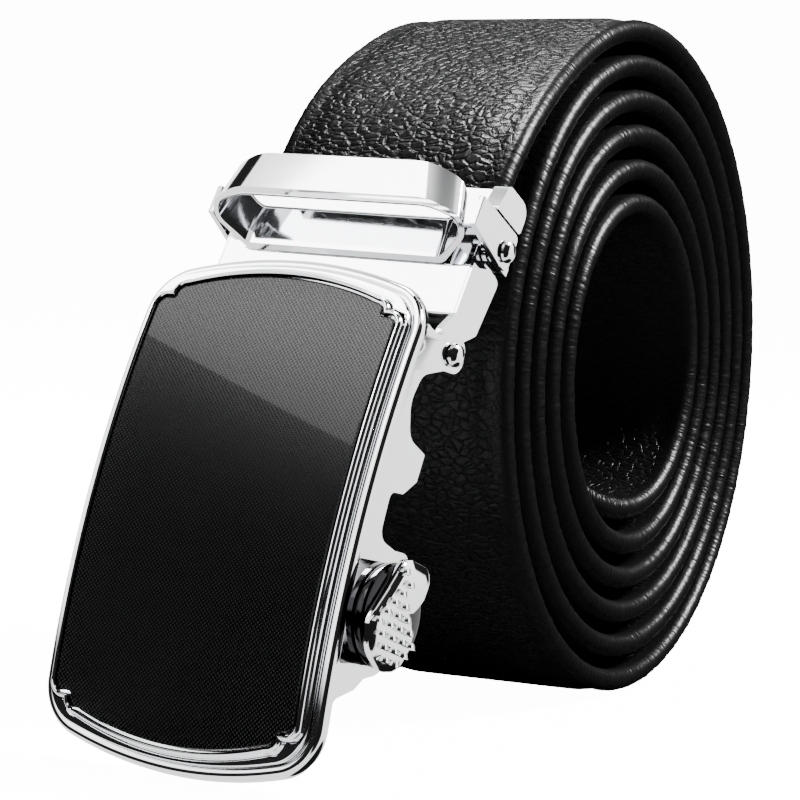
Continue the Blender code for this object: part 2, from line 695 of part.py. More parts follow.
def flange_outline():
    """The flange as (back, up) corners with fillets: ear, round cut-out, tooth, slot, bulge and tapered end."""
    def row(down, depth, fillet):
        return (buckle_back(depth), buckle_up(down), fillet)

    pin = -PIN_ABOVE_MIDDLE
    shaft = SHAFT_BELOW_MIDDLE
    ear = FLANGE_EAR
    waist = FLANGE_WAIST
    tooth_foot = (pin + shaft) / 2 - 3.6 * MM
    tooth_end = (pin + shaft) / 2 + 0.6 * MM
    slot_end = shaft - 8.1 * MM
    taper = shaft + 7.4 * MM
    corners = [
        row(pin - 1.4 * MM, waist, 1.6 * MM),
        row(pin - ear * 0.45, PIN_BEHIND_FACE - ear - 1.3 * MM, 1.4 * MM),
        row(pin - ear * 0.95, PIN_BEHIND_FACE - ear * 0.8, ear * 0.8),
        row(pin - ear * 0.95, PIN_BEHIND_FACE + ear, ear * 0.9),
        row(pin + ear * 0.75, PIN_BEHIND_FACE + ear, ear * 0.9),
        row(pin + ear * 0.95, PIN_BEHIND_FACE - ear * 0.5, 2.0 * MM),
        row(pin + 4.2 * MM, waist + 0.6 * MM, 2.4 * MM),
        row(pin + 7.8 * MM, waist - 0.5 * MM, 3.4 * MM),
        row(tooth_foot - 0.8 * MM, waist + 1.1 * MM, 2.4 * MM),
        row(tooth_foot, TOOTH_DEPTH, 0.3 * MM),
        row(tooth_end - 0.8 * MM, TOOTH_DEPTH - 0.3 * MM, 0.4 * MM),
        row(tooth_end + 1.3 * MM, waist + 2.6 * MM, 0.8 * MM),
        row(tooth_end + 1.7 * MM, waist, 1.0 * MM),
        row(slot_end - 0.2 * MM, waist, 1.7 * MM),
        row(slot_end + 0.3 * MM, BULGE_DEPTH - 3.6 * MM, 0.8 * MM),
        row(slot_end - 0.1 * MM, BULGE_DEPTH, 1.8 * MM),
        row(taper - 1.4 * MM, BULGE_DEPTH, 4.0 * MM),
        row(taper, BULGE_DEPTH - 3.6 * MM, 1.0 * MM),
        row(taper + 1.6 * MM, waist + 2.4 * MM, 1.6 * MM),
        row(taper + 3.4 * MM, PLATE_THICKNESS + 1.0 * MM, 2.0 * MM),
    ]
    # the front edge lies inside the curved plate
    first, last = pin - 1.6 * MM, taper + 4.6 * MM
    for i in range(9):
        down = last + (first - last) * i / 8
        sag = PLATE_BEND - math.sqrt(PLATE_BEND**2 - down**2)
        corners.append(row(down, PLATE_THICKNESS * 0.55 + sag, 0.0))
    return filleted(corners, steps=4)


def flange_across():
    return PLATE_WIDTH / 2 - FLANGE_INSET - FLANGE_SHEET / 2


def make_buckle_frame():
    pin_hole = arc((0, 0), PIN_RADIUS + HOLE_CLEARANCE, 0, 337.5, 15)
    shaft = (buckle_back(SHAFT_BEHIND_FACE), buckle_up(SHAFT_BELOW_MIDDLE))
    shaft_hole = arc(shaft, SHAFT_RADIUS + HOLE_CLEARANCE, 0, 337.5, 15)
    flanges = []
    for sign in (-1, 1):
        flanges.append(side_plate([flange_outline(), pin_hole, shaft_hole], FLANGE_SHEET, sign * flange_across()))
    return joined(make_face_plate(), flanges)


def make_inlay():
    lower = -INLAY_RISE + INLAY_THICKNESS
    upper = -INLAY_RISE
    loops = [
        curved_loop(resampled(inlay_half(0.0)), lower),
        curved_loop(resampled(inlay_half(0.0)), upper + 0.2 * MM),
        curved_loop(resampled(inlay_half(0.2 * MM)), upper),
    ]
    return laddered(loops, OUTLINE_COUNT)


def make_hinge_pin():
    reach = flange_across() + FLANGE_SHEET / 2 + 0.2 * MM
    return domed_bar(PIN_RADIUS, PIN_HEAD_RADIUS, PIN_HEAD_HEIGHT, -reach, reach, (0, 0), (-1, 1))


def lever_start():
    """Inner face of the lever's washer, just outside the flange."""
    return PLATE_WIDTH / 2 - FLANGE_INSET + HOLE_CLEARANCE


def grip_outline(inset):
    """The comma-shaped grip in (back, up) about the shaft, drawn in towards its own middle line."""
    scale = 1 - inset / (6.5 * MM)
    corners = [(back * MM * scale, -down * MM * scale, radius * MM * scale) for down, back, radius in GRIP_CORNERS]
    return filleted(corners, steps=3)


def make_lever():
    """Washer and grip. The origin lies on the shaft's axis."""
    start = lever_start()
    washer = rod(WASHER_RADIUS, start, start + WASHER_HEIGHT + EMBED, (0.0, 0.0), sides=32)
    base = start + WASHER_HEIGHT
    top = base + GRIP_BASE
    rows = ((base, 0.0), (top, 0.0), (top + GRIP_CROWN * 0.6, 0.5 * MM), (top + GRIP_CROWN, 1.4 * MM))
    sections = [[Vector((x, y, z)) for y, z in grip_outline(inset)] for x, inset in rows]
    return joined(washer, [lofted(sections)])


def make_pawl():
    """Shaft through both flanges with a ratchet tongue that leans towards the strap's way. Origin on the axis."""
    reach = flange_across() + FLANGE_SHEET / 2
    shaft = rod(SHAFT_RADIUS, -reach, reach + HOLE_CLEARANCE * 0.2, (0, 0))
    tongue = [
        (-TONGUE_THICKNESS / 2, 0.0), (TONGUE_THICKNESS / 2, 0.0),
        (TONGUE_THICKNESS / 2, TONGUE_LENGTH - 1.2 * MM), (-TONGUE_THICKNESS / 2, TONGUE_LENGTH),
    ]
    lean = Matrix.Rotation(-TONGUE_LEAN, 2)
    tongue = [tuple(lean @ Vector(p)) for p in tongue]
    return joined(shaft, [side_plate([tongue], 2 * TONGUE_HALF_WIDTH, 0.0)])


def frame_empty(name, group, matrix, parent=None, place=(0, 0, 0)):
    holder = bpy.data.objects.new(name, None)
    holder.empty_display_size = 0.01
    group.objects.link(holder)
    if parent:
        holder.parent = parent
        holder.location = place
    else:
        holder.matrix_world = matrix
    return holder


def centre_on_floor(group):
    """Move everything so that the origin is the middle of the belt's underside."""
    bpy.context.view_layer.update()
    corners = [
        piece.matrix_world @ vertex.co
        for piece in group.objects if piece.type == "MESH" for vertex in piece.data.vertices
    ]
    middle = Vector([(min(c[i] for c in corners) + max(c[i] for c in corners)) / 2 for i in range(3)])
    middle.z = min(c.z for c in corners)
    for item in group.objects:
        if item.parent is None:
            item.location -= middle
    bpy.context.view_layer.update()


def main():
    clear_scene()
    group = make_collection("ratchet_belt")
    chrome = make_material("polished_metal", CHROME, 0.08, 1.0)
    leather = make_material("black_leather", LEATHER, 0.45, 0.0)
    gloss = make_material("black_inlay", GLOSS_BLACK, 0.12, 0.0)

    origin = hinge_point()
    clamp_matrix = assembly_frame(origin, CLAMP_TILT)
    buckle_matrix = assembly_frame(origin, BUCKLE_TILT)
    clamp = frame_empty("clamp_frame", group, clamp_matrix)
    buckle = frame_empty("buckle_hinge", group, buckle_matrix)

    add_piece("strap", make_strap(clamp_matrix), group, leather)
    add_piece("clamp_base", make_clamp_base(), group, chrome, clamp)
    add_piece("keeper_loop", make_keeper_loop(), group, chrome, clamp)
    add_piece("clamp_rivet_right", make_rivet(1), group, chrome, clamp)
    add_piece("clamp_rivet_left", make_rivet(-1), group, chrome, clamp)
    door = frame_empty("door_hinge", group, None, clamp, (0, RIVET_BACK, RIVET_UP))
    add_piece("clamp_door", make_clamp_door(), group, chrome, door)

    add_piece("buckle_frame", make_buckle_frame(), group, chrome, buckle)
    add_piece("inlay_panel", make_inlay(), group, gloss, buckle)
    add_piece("hinge_pin", make_hinge_pin(), group, chrome, buckle)
    shaft_place = (0, buckle_back(SHAFT_BEHIND_FACE), buckle_up(SHAFT_BELOW_MIDDLE))
    shaft = frame_empty("lever_pivot", group, None, buckle, shaft_place)
    add_piece("release_lever", make_lever(), group, chrome, shaft)
    add_piece("pawl", make_pawl(), group, chrome, shaft)

    centre_on_floor(group)


main()
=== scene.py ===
import json
import math

import bmesh
import bpy
from mathutils import Matrix, Vector
from mathutils.bvhtree import BVHTree

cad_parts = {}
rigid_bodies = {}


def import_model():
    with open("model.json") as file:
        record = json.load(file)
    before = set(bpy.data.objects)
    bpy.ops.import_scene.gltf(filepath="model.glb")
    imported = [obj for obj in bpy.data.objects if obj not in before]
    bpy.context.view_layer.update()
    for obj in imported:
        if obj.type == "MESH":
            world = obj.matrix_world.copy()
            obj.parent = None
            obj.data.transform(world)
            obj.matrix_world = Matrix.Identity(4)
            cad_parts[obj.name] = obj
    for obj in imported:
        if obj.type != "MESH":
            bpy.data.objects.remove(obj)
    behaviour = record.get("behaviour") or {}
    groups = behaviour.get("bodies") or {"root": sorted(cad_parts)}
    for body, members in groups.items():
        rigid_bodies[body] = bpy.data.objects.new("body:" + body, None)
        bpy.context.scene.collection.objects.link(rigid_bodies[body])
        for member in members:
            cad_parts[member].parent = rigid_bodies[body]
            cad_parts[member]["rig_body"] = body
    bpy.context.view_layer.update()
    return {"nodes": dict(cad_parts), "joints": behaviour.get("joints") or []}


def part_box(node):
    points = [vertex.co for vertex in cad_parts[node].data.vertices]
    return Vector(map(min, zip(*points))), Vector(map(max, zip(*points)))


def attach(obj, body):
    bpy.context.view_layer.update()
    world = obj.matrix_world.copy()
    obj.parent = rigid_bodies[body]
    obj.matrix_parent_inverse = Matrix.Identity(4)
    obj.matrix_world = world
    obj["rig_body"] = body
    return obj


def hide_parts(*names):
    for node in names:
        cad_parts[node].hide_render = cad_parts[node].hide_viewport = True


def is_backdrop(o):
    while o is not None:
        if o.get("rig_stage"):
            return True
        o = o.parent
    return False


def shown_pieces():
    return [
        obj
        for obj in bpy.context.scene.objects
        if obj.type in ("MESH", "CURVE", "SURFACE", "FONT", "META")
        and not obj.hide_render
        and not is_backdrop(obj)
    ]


# Looks of the ratchet belt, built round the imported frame. Lengths are in metres.

MM = 0.001

# Strap, as in the frame
STRAP_WIDTH = 35.0 * MM
STRAP_THICKNESS = 3.6 * MM
COIL_TOP_RADIUS = 46.8 * MM  # middle of the strap, at the top of the outermost turn
COIL_PITCH = 4.82 * MM
COIL_TURNS = 5.68
COIL_AXIS_HEIGHT = 46.21 * MM
COIL_REACH = 47.42 * MM  # from the coil's axis to the strap's rearmost point
TIP_LENGTH = 38.0 * MM
TIP_END_SHARE = 0.16
LEAVE_ANGLE = math.radians(20.0)
LEAVE_PULL = 0.95
STATION_GAP = 0.85 * MM  # along the strap
EDGE_BEAD = 1.55 * MM
EDGE_REACH = 2.2 * MM  # how far in from the edge its swelling reaches

# Clamp and buckle, as in the frame
CLAMP_TOP = 22.9 * MM
CLAMP_TILT_PAST_BUCKLE = math.radians(-10.5)
STRAP_IN_CLAMP_BACK = 2.7 * MM
STRAP_END = 4.6 * MM
BUCKLE_UP = Vector((0.06495, 0.323906, 0.943857))  # along the face plate, towards its pin
PIN_ABOVE_MIDDLE = 23.5 * MM
PIN_BEHIND_FACE = 10.2 * MM
PLATE_WIDTH = 40.0 * MM
PLATE_LENGTH = 63.3 * MM
PLATE_THICKNESS = 2.2 * MM
PLATE_BEND = 138.0 * MM
PLATE_END_RADIUS = 56.0 * MM
PLATE_CORNER = 6.4 * MM
BACK_CHAMFER = 0.55 * MM
RIM_WIDTH = 1.15 * MM
RIM_RISE = 0.35 * MM
FIELD_RISE = 1.1 * MM
BEAD_RISE = 2.0 * MM
GROOVE_WIDTH = 0.2 * MM
INLAY_RISE = 1.8 * MM
INLAY_GAP = 0.3 * MM
INLAY_HALF_WIDTH = 17.1 * MM
INLAY_HALF_LENGTH = 28.5 * MM
INLAY_NOTCH_ASIDE = 2.3 * MM
INLAY_NOTCH_UP = 24.6 * MM
INLAY_THICKNESS = 0.85 * MM
INLAY_FILLET = 1.3 * MM
INLAY_END_RADIUS = 44.0 * MM
DOT_PITCH = 0.56 * MM

# Keeper loop, close to the frame's, with the bends that the photo shows
CLAMP_FRONT = 0.8 * MM  # ahead of the pin, the loop's own back
LOOP_FOOT = 11.5 * MM
LOOP_HEIGHT = 5.4 * MM
LOOP_FRONT = 8.1 * MM
LOOP_WALL = 1.0 * MM
LOOP_HALF_WIDTH = 20.2 * MM
LOOP_CHEEK_BACK = 2.6 * MM
LOOP_SLANT = 0.65
LOOP_FLARE = 1.7 * MM
LOOP_FLAT_SHARE = 0.72
LOOP_FILLET = 2.2 * MM
LOOP_BEND = 10.0 * MM  # of the front bar into the cheeks

EAR_INNER = 19.5 * MM
EAR_OUTER = 20.25 * MM
EAR_FOOT = 13.5 * MM
EAR_TOP = 18.6 * MM
EAR_BACK = 4.3 * MM
RIVET_BACK = 2.6 * MM

# Lever, about its shaft: thicker washers and a flatter grip than the frame's
LEVER_START = 20.1 * MM
WASHER_RADIUS = 6.2 * MM
WASHER_FORWARD = 0.8 * MM
WASHER_HEIGHT = 2.5 * MM
GRIP_HEIGHT = 1.4 * MM
# the grip's outline: millimetres down, millimetres back, corner radius
GRIP_CORNERS = (
    (-6.9, -0.6, 1.4), (-6.4, -2.4, 1.4), (-2.9, -4.2, 5.0), (1.3, -6.6, 2.6),
    (5.0, -5.2, 3.0), (6.6, -1.6, 2.6), (5.9, 1.6, 2.4), (2.2, 3.4, 2.2),
    (-0.6, 1.2, 1.2), (-2.0, -0.3, 0.7), (-3.3, 3.6, 1.6), (-6.9, 4.2, 2.0),
)
DIMPLE_RADIUS = 0.6 * MM
DIMPLE_STRETCH = 1.4  # across the rows
DIMPLE_ROW = 1.3 * MM
DIMPLE_COLUMN = 2.15 * MM

# Camera, fitted to the photo: its place from the coil's centre, its turn, and its focal length
CAMERA_FROM_COIL = Vector((158.74, -351.9, 17.08)) * MM
CAMERA_AZIMUTH = math.radians(26.996)
CAMERA_ELEVATION = math.radians(3.471)
CAMERA_ROLL = math.radians(1.854)
CAMERA_LENS = 120.75  # on a sensor 36 wide

# Lower edge of the softbox that the inlay mirrors, as places on the inlay: (across, down)
GLOSS_EDGE = ((-17.0 * MM, -19.5 * MM), (17.0 * MM, -8.5 * MM))
GLOSS_CARD_DISTANCE = 0.9
GLOSS_CARD_HEIGHT = 0.45
GLOSS_CARD_MARGIN = 0.12
GLOSS_CARD_LIGHT = 8.0

# Studio: powers in watts, sizes and places in metres
TENT_RADIUS = 2.5
STUDIO_LIGHT = 3.4
FLAG_LIGHT = 0.02
FILL_LIGHT = 0.2
BACKDROP_LIGHT = 14.0
FLOOR_REACH = 3.0
FLOOR_GAP = 0.02 * MM  # below the part, so that the two don't flicker
KEY_PLACE, KEY_TARGET, KEY_SIZE, KEY_POWER = (-0.15, 0.25, 0.9), (0, 0.02, 0.05), (0.22, 0.3), 14.0
SIDE_PLACE, SIDE_TARGET, SIDE_SIZE, SIDE_POWER = (0.62, 0.42, 0.68), (0, 0.03, 0.05), (0.25, 0.25), 30.0
DARK_SIDE = (0.86, -0.50, 0.08)  # towards a dark flag beside the camera
# further dark flags: the way towards each, and half its width as an angle
DARK_FLAGS = (
    ((-0.9, 0.07, 0.44), math.radians(21)), ((-0.2, -0.55, 0.81), math.radians(6)),
    ((0.05, -0.6, 0.8), math.radians(5)), ((0.3, 0.5, -0.8), math.radians(32)),
    ((-0.15, -0.97, -0.2), math.radians(15)), ((0.25, 0.95, 0.15), math.radians(18)),
    ((0.95, 0.2, 0.3), math.radians(18)), ((0.4, 0.55, 0.75), math.radians(14)),
)


# Steps of the outlines, and the angle in degrees above which an edge of a copied piece is rounded
END_STEPS, ARC_POINTS, SIDE_STEPS = 20, 8, 30
SHARP_ANGLE = 32


def new_object(name, data):
    thing = bpy.data.objects.new(name, data)
    bpy.context.scene.collection.objects.link(thing)
    return thing


def mesh_from(bm, name):
    mesh = bpy.data.meshes.new(name)
    bm.to_mesh(mesh)
    bm.free()
    return mesh


def skin(bm, loops):
    """Quads between each closed loop of vertices and the next."""
    faces = []
    for loop, after in zip(loops, loops[1:]):
        for i in range(len(loop)):
            j = (i + 1) % len(loop)
            faces.append(bm.faces.new((loop[i], loop[j], after[j], after[i])))
    return faces


def smooth_below(bm, angle):
    """Edges flatter than an angle are shaded smooth, the others and open ones sharp."""
    for edge in bm.edges:
        edge.smooth = len(edge.link_faces) == 2 and edge.calc_face_angle(0.0) < math.radians(angle)


def new_material(name):
    material = bpy.data.materials.new(name)
    material.use_nodes = True
    tree = material.node_tree
    return material, tree.nodes, tree.links, tree.nodes["Principled BSDF"]


def add_node(nodes, kind, values=None, **settings):
    node = nodes.new(kind)
    for key, value in settings.items():
        setattr(node, key, value)
    for key, value in (values or {}).items():
        node.inputs[key].default_value = value
    return node


def add_ramp(nodes, stops, interpolation="LINEAR"):
    node = nodes.new("ShaderNodeValToRGB")
    node.color_ramp.interpolation = interpolation
    ramp = node.color_ramp.elements
    while len(ramp) < len(stops):
        ramp.new(0.5)
    for element, (position, value) in zip(ramp, stops):
        element.position = position
        element.color = (value, value, value, 1.0) if isinstance(value, float) else (*value, 1.0)
    return node


def leather_material():
    """Black pebbled leather: cells with creases between them, and cross wrinkles along the rolled edges."""
    material, nodes, links, shader = new_material("leather_looks")
    uv = add_node(nodes, "ShaderNodeUVMap", uv_map="strap")
    warp = add_node(nodes, "ShaderNodeTexNoise", {"Scale": 420.0, "Detail": 3.0})
    links.new(uv.outputs["UV"], warp.inputs["Vector"])
    spread = add_node(nodes, "ShaderNodeVectorMath", operation="SCALE")
    spread.inputs["Scale"].default_value = 1.1 * MM
    links.new(warp.outputs["Color"], spread.inputs[0])
    bent = add_node(nodes, "ShaderNodeVectorMath", operation="ADD")
    links.new(uv.outputs["UV"], bent.inputs[0])
    links.new(spread.outputs["Vector"], bent.inputs[1])

    slanted = add_node(nodes, "ShaderNodeMapping", {"Scale": (980.0, 620.0, 1.0)})
    slanted.inputs["Rotation"].default_value = (0.0, 0.0, math.radians(35))
    links.new(bent.outputs["Vector"], slanted.inputs["Vector"])
    cells = add_node(nodes, "ShaderNodeTexVoronoi", {"Scale": 1.0}, feature="DISTANCE_TO_EDGE")
    links.new(slanted.outputs["Vector"], cells.inputs["Vector"])
    pebble = add_ramp(nodes, [(0.0, 0.0), (0.05, 0.45), (0.2, 0.85), (0.5, 1.0)], "EASE")
    links.new(cells.outputs["Distance"], pebble.inputs["Fac"])
    small = add_node(nodes, "ShaderNodeTexVoronoi", {"Scale": 1300.0}, feature="DISTANCE_TO_EDGE")
    links.new(bent.outputs["Vector"], small.inputs["Vector"])
    grain = add_node(nodes, "ShaderNodeTexNoise", {"Scale": 2600.0, "Detail": 4.0})
    links.new(uv.outputs["UV"], grain.inputs["Vector"])

    # wrinkles that run across the rolled edge: fine along the strap, long across it
    stretched = add_node(nodes, "ShaderNodeMapping", {"Scale": (1050.0, 240.0, 1.0)})
    links.new(uv.outputs["UV"], stretched.inputs["Vector"])
    wrinkle = add_node(nodes, "ShaderNodeTexNoise", {"Scale": 1.0, "Detail": 2.0, "Distortion": 0.6})
    links.new(stretched.outputs["Vector"], wrinkle.inputs["Vector"])
    place = add_node(nodes, "ShaderNodeSeparateXYZ")
    links.new(uv.outputs["UV"], place.inputs[0])
    aside = add_node(nodes, "ShaderNodeMath", operation="ABSOLUTE")
    links.new(place.outputs["Y"], aside.inputs[0])
    near_edge = add_node(nodes, "ShaderNodeMapRange", {1: 14.2 * MM, 2: 16.4 * MM, 3: 0.0, 4: 1.0})
    links.new(aside.outputs[0], near_edge.inputs[0])

    height = add_node(nodes, "ShaderNodeMix", data_type="FLOAT")
    links.new(near_edge.outputs[0], height.inputs[0])
    links.new(pebble.outputs["Color"], height.inputs[2])
    links.new(wrinkle.outputs["Fac"], height.inputs[3])
    coarse = add_node(nodes, "ShaderNodeBump", {"Strength": 1.0, "Distance": 0.16 * MM})
    links.new(height.outputs[0], coarse.inputs["Height"])
    fine = add_node(nodes, "ShaderNodeBump", {"Strength": 0.55, "Distance": 0.09 * MM})
    links.new(small.outputs["Distance"], fine.inputs["Height"])
    links.new(coarse.outputs["Normal"], fine.inputs["Normal"])
    finest = add_node(nodes, "ShaderNodeBump", {"Strength": 0.35, "Distance": 0.03 * MM})
    links.new(grain.outputs["Fac"], finest.inputs["Height"])
    links.new(fine.outputs["Normal"], finest.inputs["Normal"])
    links.new(finest.outputs["Normal"], shader.inputs["Normal"])

    sheen = add_node(nodes, "ShaderNodeMapRange", {1: 0.3, 2: 0.7, 3: 0.27, 4: 0.40})
    links.new(grain.outputs["Fac"], sheen.inputs[0])
    links.new(sheen.outputs[0], shader.inputs["Roughness"])
    tone = add_ramp(nodes, [(0.0, (0.004, 0.004, 0.0043)), (1.0, (0.0035, 0.0035, 0.0037))])
    links.new(pebble.outputs["Color"], tone.inputs["Fac"])
    links.new(tone.outputs["Color"], shader.inputs["Base Color"])
    shader.inputs["IOR"].default_value = 1.35
    shader.inputs["Specular IOR Level"].default_value = 0.4
    return material


def chrome_material(name, dull, bright):
    """Mirror-polished plating with faint smears, between two tones."""
    material, nodes, links, shader = new_material(name)
    place = add_node(nodes, "ShaderNodeTexCoord")
    smear = add_node(nodes, "ShaderNodeTexNoise", {"Scale": 55.0, "Detail": 5.0, "Roughness": 0.62})
    links.new(place.outputs["Object"], smear.inputs["Vector"])
    gloss = add_node(nodes, "ShaderNodeMapRange", {1: 0.3, 2: 0.75, 3: 0.035, 4: 0.095})
    links.new(smear.outputs["Fac"], gloss.inputs[0])
    links.new(gloss.outputs[0], shader.inputs["Roughness"])
    tint = add_ramp(nodes, [(0.3, dull), (0.8, bright)])
    links.new(smear.outputs["Fac"], tint.inputs["Fac"])
    links.new(tint.outputs["Color"], shader.inputs["Base Color"])
    shader.inputs["Metallic"].default_value = 1.0
    return material


def inlay_material():
    """Black lacquer over a staggered grid of small raised dots."""
    material, nodes, links, shader = new_material("inlay_looks")
    place = add_node(nodes, "ShaderNodeUVMap", uv_map="face")
    grid = add_node(nodes, "ShaderNodeMapping", {"Scale": (1.414 / DOT_PITCH, 1.414 / DOT_PITCH, 1.0)})
    grid.inputs["Rotation"].default_value = (0.0, 0.0, math.radians(45))
    links.new(place.outputs["UV"], grid.inputs["Vector"])
    cell = add_node(nodes, "ShaderNodeVectorMath", operation="FRACTION")
    links.new(grid.outputs["Vector"], cell.inputs[0])
    middle = add_node(nodes, "ShaderNodeVectorMath", operation="DISTANCE")
    middle.inputs[1].default_value = (0.5, 0.5, 0.0)
    flat = add_node(nodes, "ShaderNodeVectorMath", operation="MULTIPLY")
    flat.inputs[1].default_value = (1.0, 1.0, 0.0)
    links.new(cell.outputs["Vector"], flat.inputs[0])
    links.new(flat.outputs["Vector"], middle.inputs[0])
    dots = add_ramp(nodes, [(0.12, 1.0), (0.42, 0.0)], "EASE")
    links.new(middle.outputs["Value"], dots.inputs["Fac"])
    bump = add_node(nodes, "ShaderNodeBump", {"Strength": 1.0, "Distance": 0.05 * MM})
    links.new(dots.outputs["Color"], bump.inputs["Height"])
    links.new(bump.outputs["Normal"], shader.inputs["Normal"])
    tone = add_ramp(nodes, [(0.0, (0.0008, 0.0008, 0.0009)), (1.0, (0.016, 0.016, 0.017))])
    links.new(dots.outputs["Color"], tone.inputs["Fac"])
    links.new(tone.outputs["Color"], shader.inputs["Base Color"])
    shader.inputs["Roughness"].default_value = 0.22
    shader.inputs["IOR"].default_value = 1.35
    shader.inputs["Specular IOR Level"].default_value = 0.45
    shader.inputs["Coat Weight"].default_value = 0.5
    shader.inputs["Coat IOR"].default_value = 1.25
    shader.inputs["Coat Roughness"].default_value = 0.02
    return material


def add_piece(name, mesh, material, body, replaced):
    piece = new_object(name, mesh)
    mesh.materials.append(material)
    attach(piece, body)
    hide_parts(*replaced)
    return piece


# The strap


def coil_radius(angle):
    return COIL_TOP_RADIUS - COIL_PITCH * angle / (2 * math.pi)


def strap_stations(coil, clamp):
    """Rows of (middle, across, outward, half width) from the free tip to the end in the clamp."""
    x_axis = Vector((1, 0, 0))
    last = 2 * math.pi * COIL_TURNS
    inner = coil_radius(last)
    rows = []
    angle = last - 0.004
    while angle > -LEAVE_ANGLE:
        radius = coil_radius(angle)
        outward = Vector((0, math.sin(angle), math.cos(angle)))
        from_tip = (last - angle) * inner
        share = min(from_tip / TIP_LENGTH, 1.0)
        taper = TIP_END_SHARE + (1 - TIP_END_SHARE) * math.sqrt(1 - (1 - share) ** 2.2)
        rows.append((coil + outward * radius, x_axis, outward, taper * STRAP_WIDTH / 2))
        angle -= STATION_GAP * (0.35 if from_tip < 4 * MM else 1.0) / radius
    start, start_out = rows[-1][0], rows[-1][2]
    start_way = x_axis.cross(start_out)
    turn = clamp.to_3x3()
    end_way = turn @ Vector((0, 0, -1))
    end = clamp @ Vector((0, STRAP_IN_CLAMP_BACK, CLAMP_TOP - 1.0 * MM))
    pull = (end - start).length * LEAVE_PULL
    end_across = turn @ x_axis
    steps = int((end - start).length * 1.08 / STATION_GAP)
    for i in range(1, steps + 1):
        t = i / steps
        h00, h10 = 2 * t**3 - 3 * t**2 + 1, t**3 - 2 * t**2 + t
        h01, h11 = 3 * t**2 - 2 * t**3, t**3 - t**2
        middle = start * h00 + start_way * pull * h10 + end * h01 + end_way * pull * h11
        d00, d10 = 6 * t**2 - 6 * t, 3 * t**2 - 4 * t + 1
        d01, d11 = 6 * t - 6 * t**2, 3 * t**2 - 2 * t
        way = (start * d00 + start_way * pull * d10 + end * d01 + end_way * pull * d11).normalized()
        across = x_axis.lerp(end_across, t * t * (3 - 2 * t))
        across = (across - way * across.dot(way)).normalized()
        rows.append((middle, across, way.cross(across), STRAP_WIDTH / 2))
    outward = turn @ Vector((0, -1, 0))
    up = CLAMP_TOP - 2.5 * MM
    while up > STRAP_END:
        rows.append((clamp @ Vector((0, STRAP_IN_CLAMP_BACK, up)), end_across, outward, STRAP_WIDTH / 2))
        up -= 2.0 * MM
    rows.append((clamp @ Vector((0, STRAP_IN_CLAMP_BACK, STRAP_END)), end_across, outward, STRAP_WIDTH / 2))
    return rows


def section_points(half_width):
    """Section of the padded strap as (across, height): a padded middle, a shallow dip, a rolled edge."""
    half = STRAP_THICKNESS / 2
    share = half_width / (STRAP_WIDTH / 2)
    bead = EDGE_BEAD * min(1.0, half_width / (3 * MM))
    right = [(half_width - bead + bead * math.cos(math.radians(turn)), bead * math.sin(math.radians(turn)))
             for turn in range(-80, 81, 16)]
    # places on the outer face, from the right edge inwards: (across, height) in millimetres
    shoulder = ((15.0, 1.40), (14.2, 1.42), (13.2, 1.60), (12.0, 1.78), (10.0, 1.8), (6.0, 1.8), (2.0, 1.8))
    top = [(x * MM * share, half * y / 1.8) for x, y in shoulder]
    top += [(-x, y) for x, y in reversed(top)]
    left = [(-x, -y) for x, y in right]
    bottom = [(-x, -y) for x, y in top]
    return right + top + left + bottom


def make_strap(coil, clamp):
    rows = strap_stations(coil, clamp)
    bm = bmesh.new()
    uv = bm.loops.layers.uv.new("strap")
    run = 0.0
    loops, places = [], {}
    for k, (middle, across, outward, half_width) in enumerate(rows):
        if k:
            run += (middle - rows[k - 1][0]).length
        # the rolled edge swells and shrinks a little along its run
        swell = 0.07 * MM * math.sin(run * 1900) * math.sin(run * 733 + 1.3)
        swell += 0.04 * MM * math.sin(run * 3100 + 0.4)
        loop = []
        for x, y in section_points(half_width):
            beside = max(0.0, (abs(x) - (half_width - EDGE_REACH)) / EDGE_REACH)
            wide = x + math.copysign(1.0, x) * swell * beside * 0.6
            vert = bm.verts.new(middle + across * wide + outward * y * (1 + beside * swell / (2 * MM)))
            places[vert] = (run, x)
            loop.append(vert)
        loops.append(loop)
    for face in skin(bm, loops):
        face.smooth = True
    bm.faces.new(list(reversed(loops[0])))
    bm.faces.new(loops[-1])
    for face in bm.faces:
        for corner in face.loops:
            corner[uv].uv = places[corner.vert]
    bmesh.ops.recalc_face_normals(bm, faces=bm.faces)
    return mesh_from(bm, "leather_strap")


# Metal pieces: the frame's shapes with rounded edges and smooth curves


def polished_copy(name, node, bevel, keep=None):
    """The frame's own shape with rounded edges. keep picks its vertices, and the rest is built anew."""
    bm = bmesh.new()
    bm.from_mesh(frame["nodes"][node].data)
    if keep:
        bmesh.ops.delete(bm, geom=[vert for vert in bm.verts if not keep(vert.co)], context="VERTS")
    bmesh.ops.remove_doubles(bm, verts=bm.verts, dist=0.002 * MM)
    bmesh.ops.dissolve_limit(
        bm, angle_limit=math.radians(0.6), verts=bm.verts, edges=bm.edges, delimit={"NORMAL"})
    for face in bm.faces:
        face.smooth = True
    smooth_below(bm, SHARP_ANGLE)
    piece = new_object(name, mesh_from(bm, name))
    piece.data.materials.append(chrome)
    if bevel:
        rounding = piece.modifiers.new("rounded_edges", "BEVEL")
        rounding.width = bevel
        rounding.segments = 3
        rounding.limit_method = "ANGLE"
        rounding.angle_limit = math.radians(SHARP_ANGLE)
        rounding.use_clamp_overlap = True
        rounding.harden_normals = True
    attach(piece, frame["nodes"][node]["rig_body"])
    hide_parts(node)
    return piece


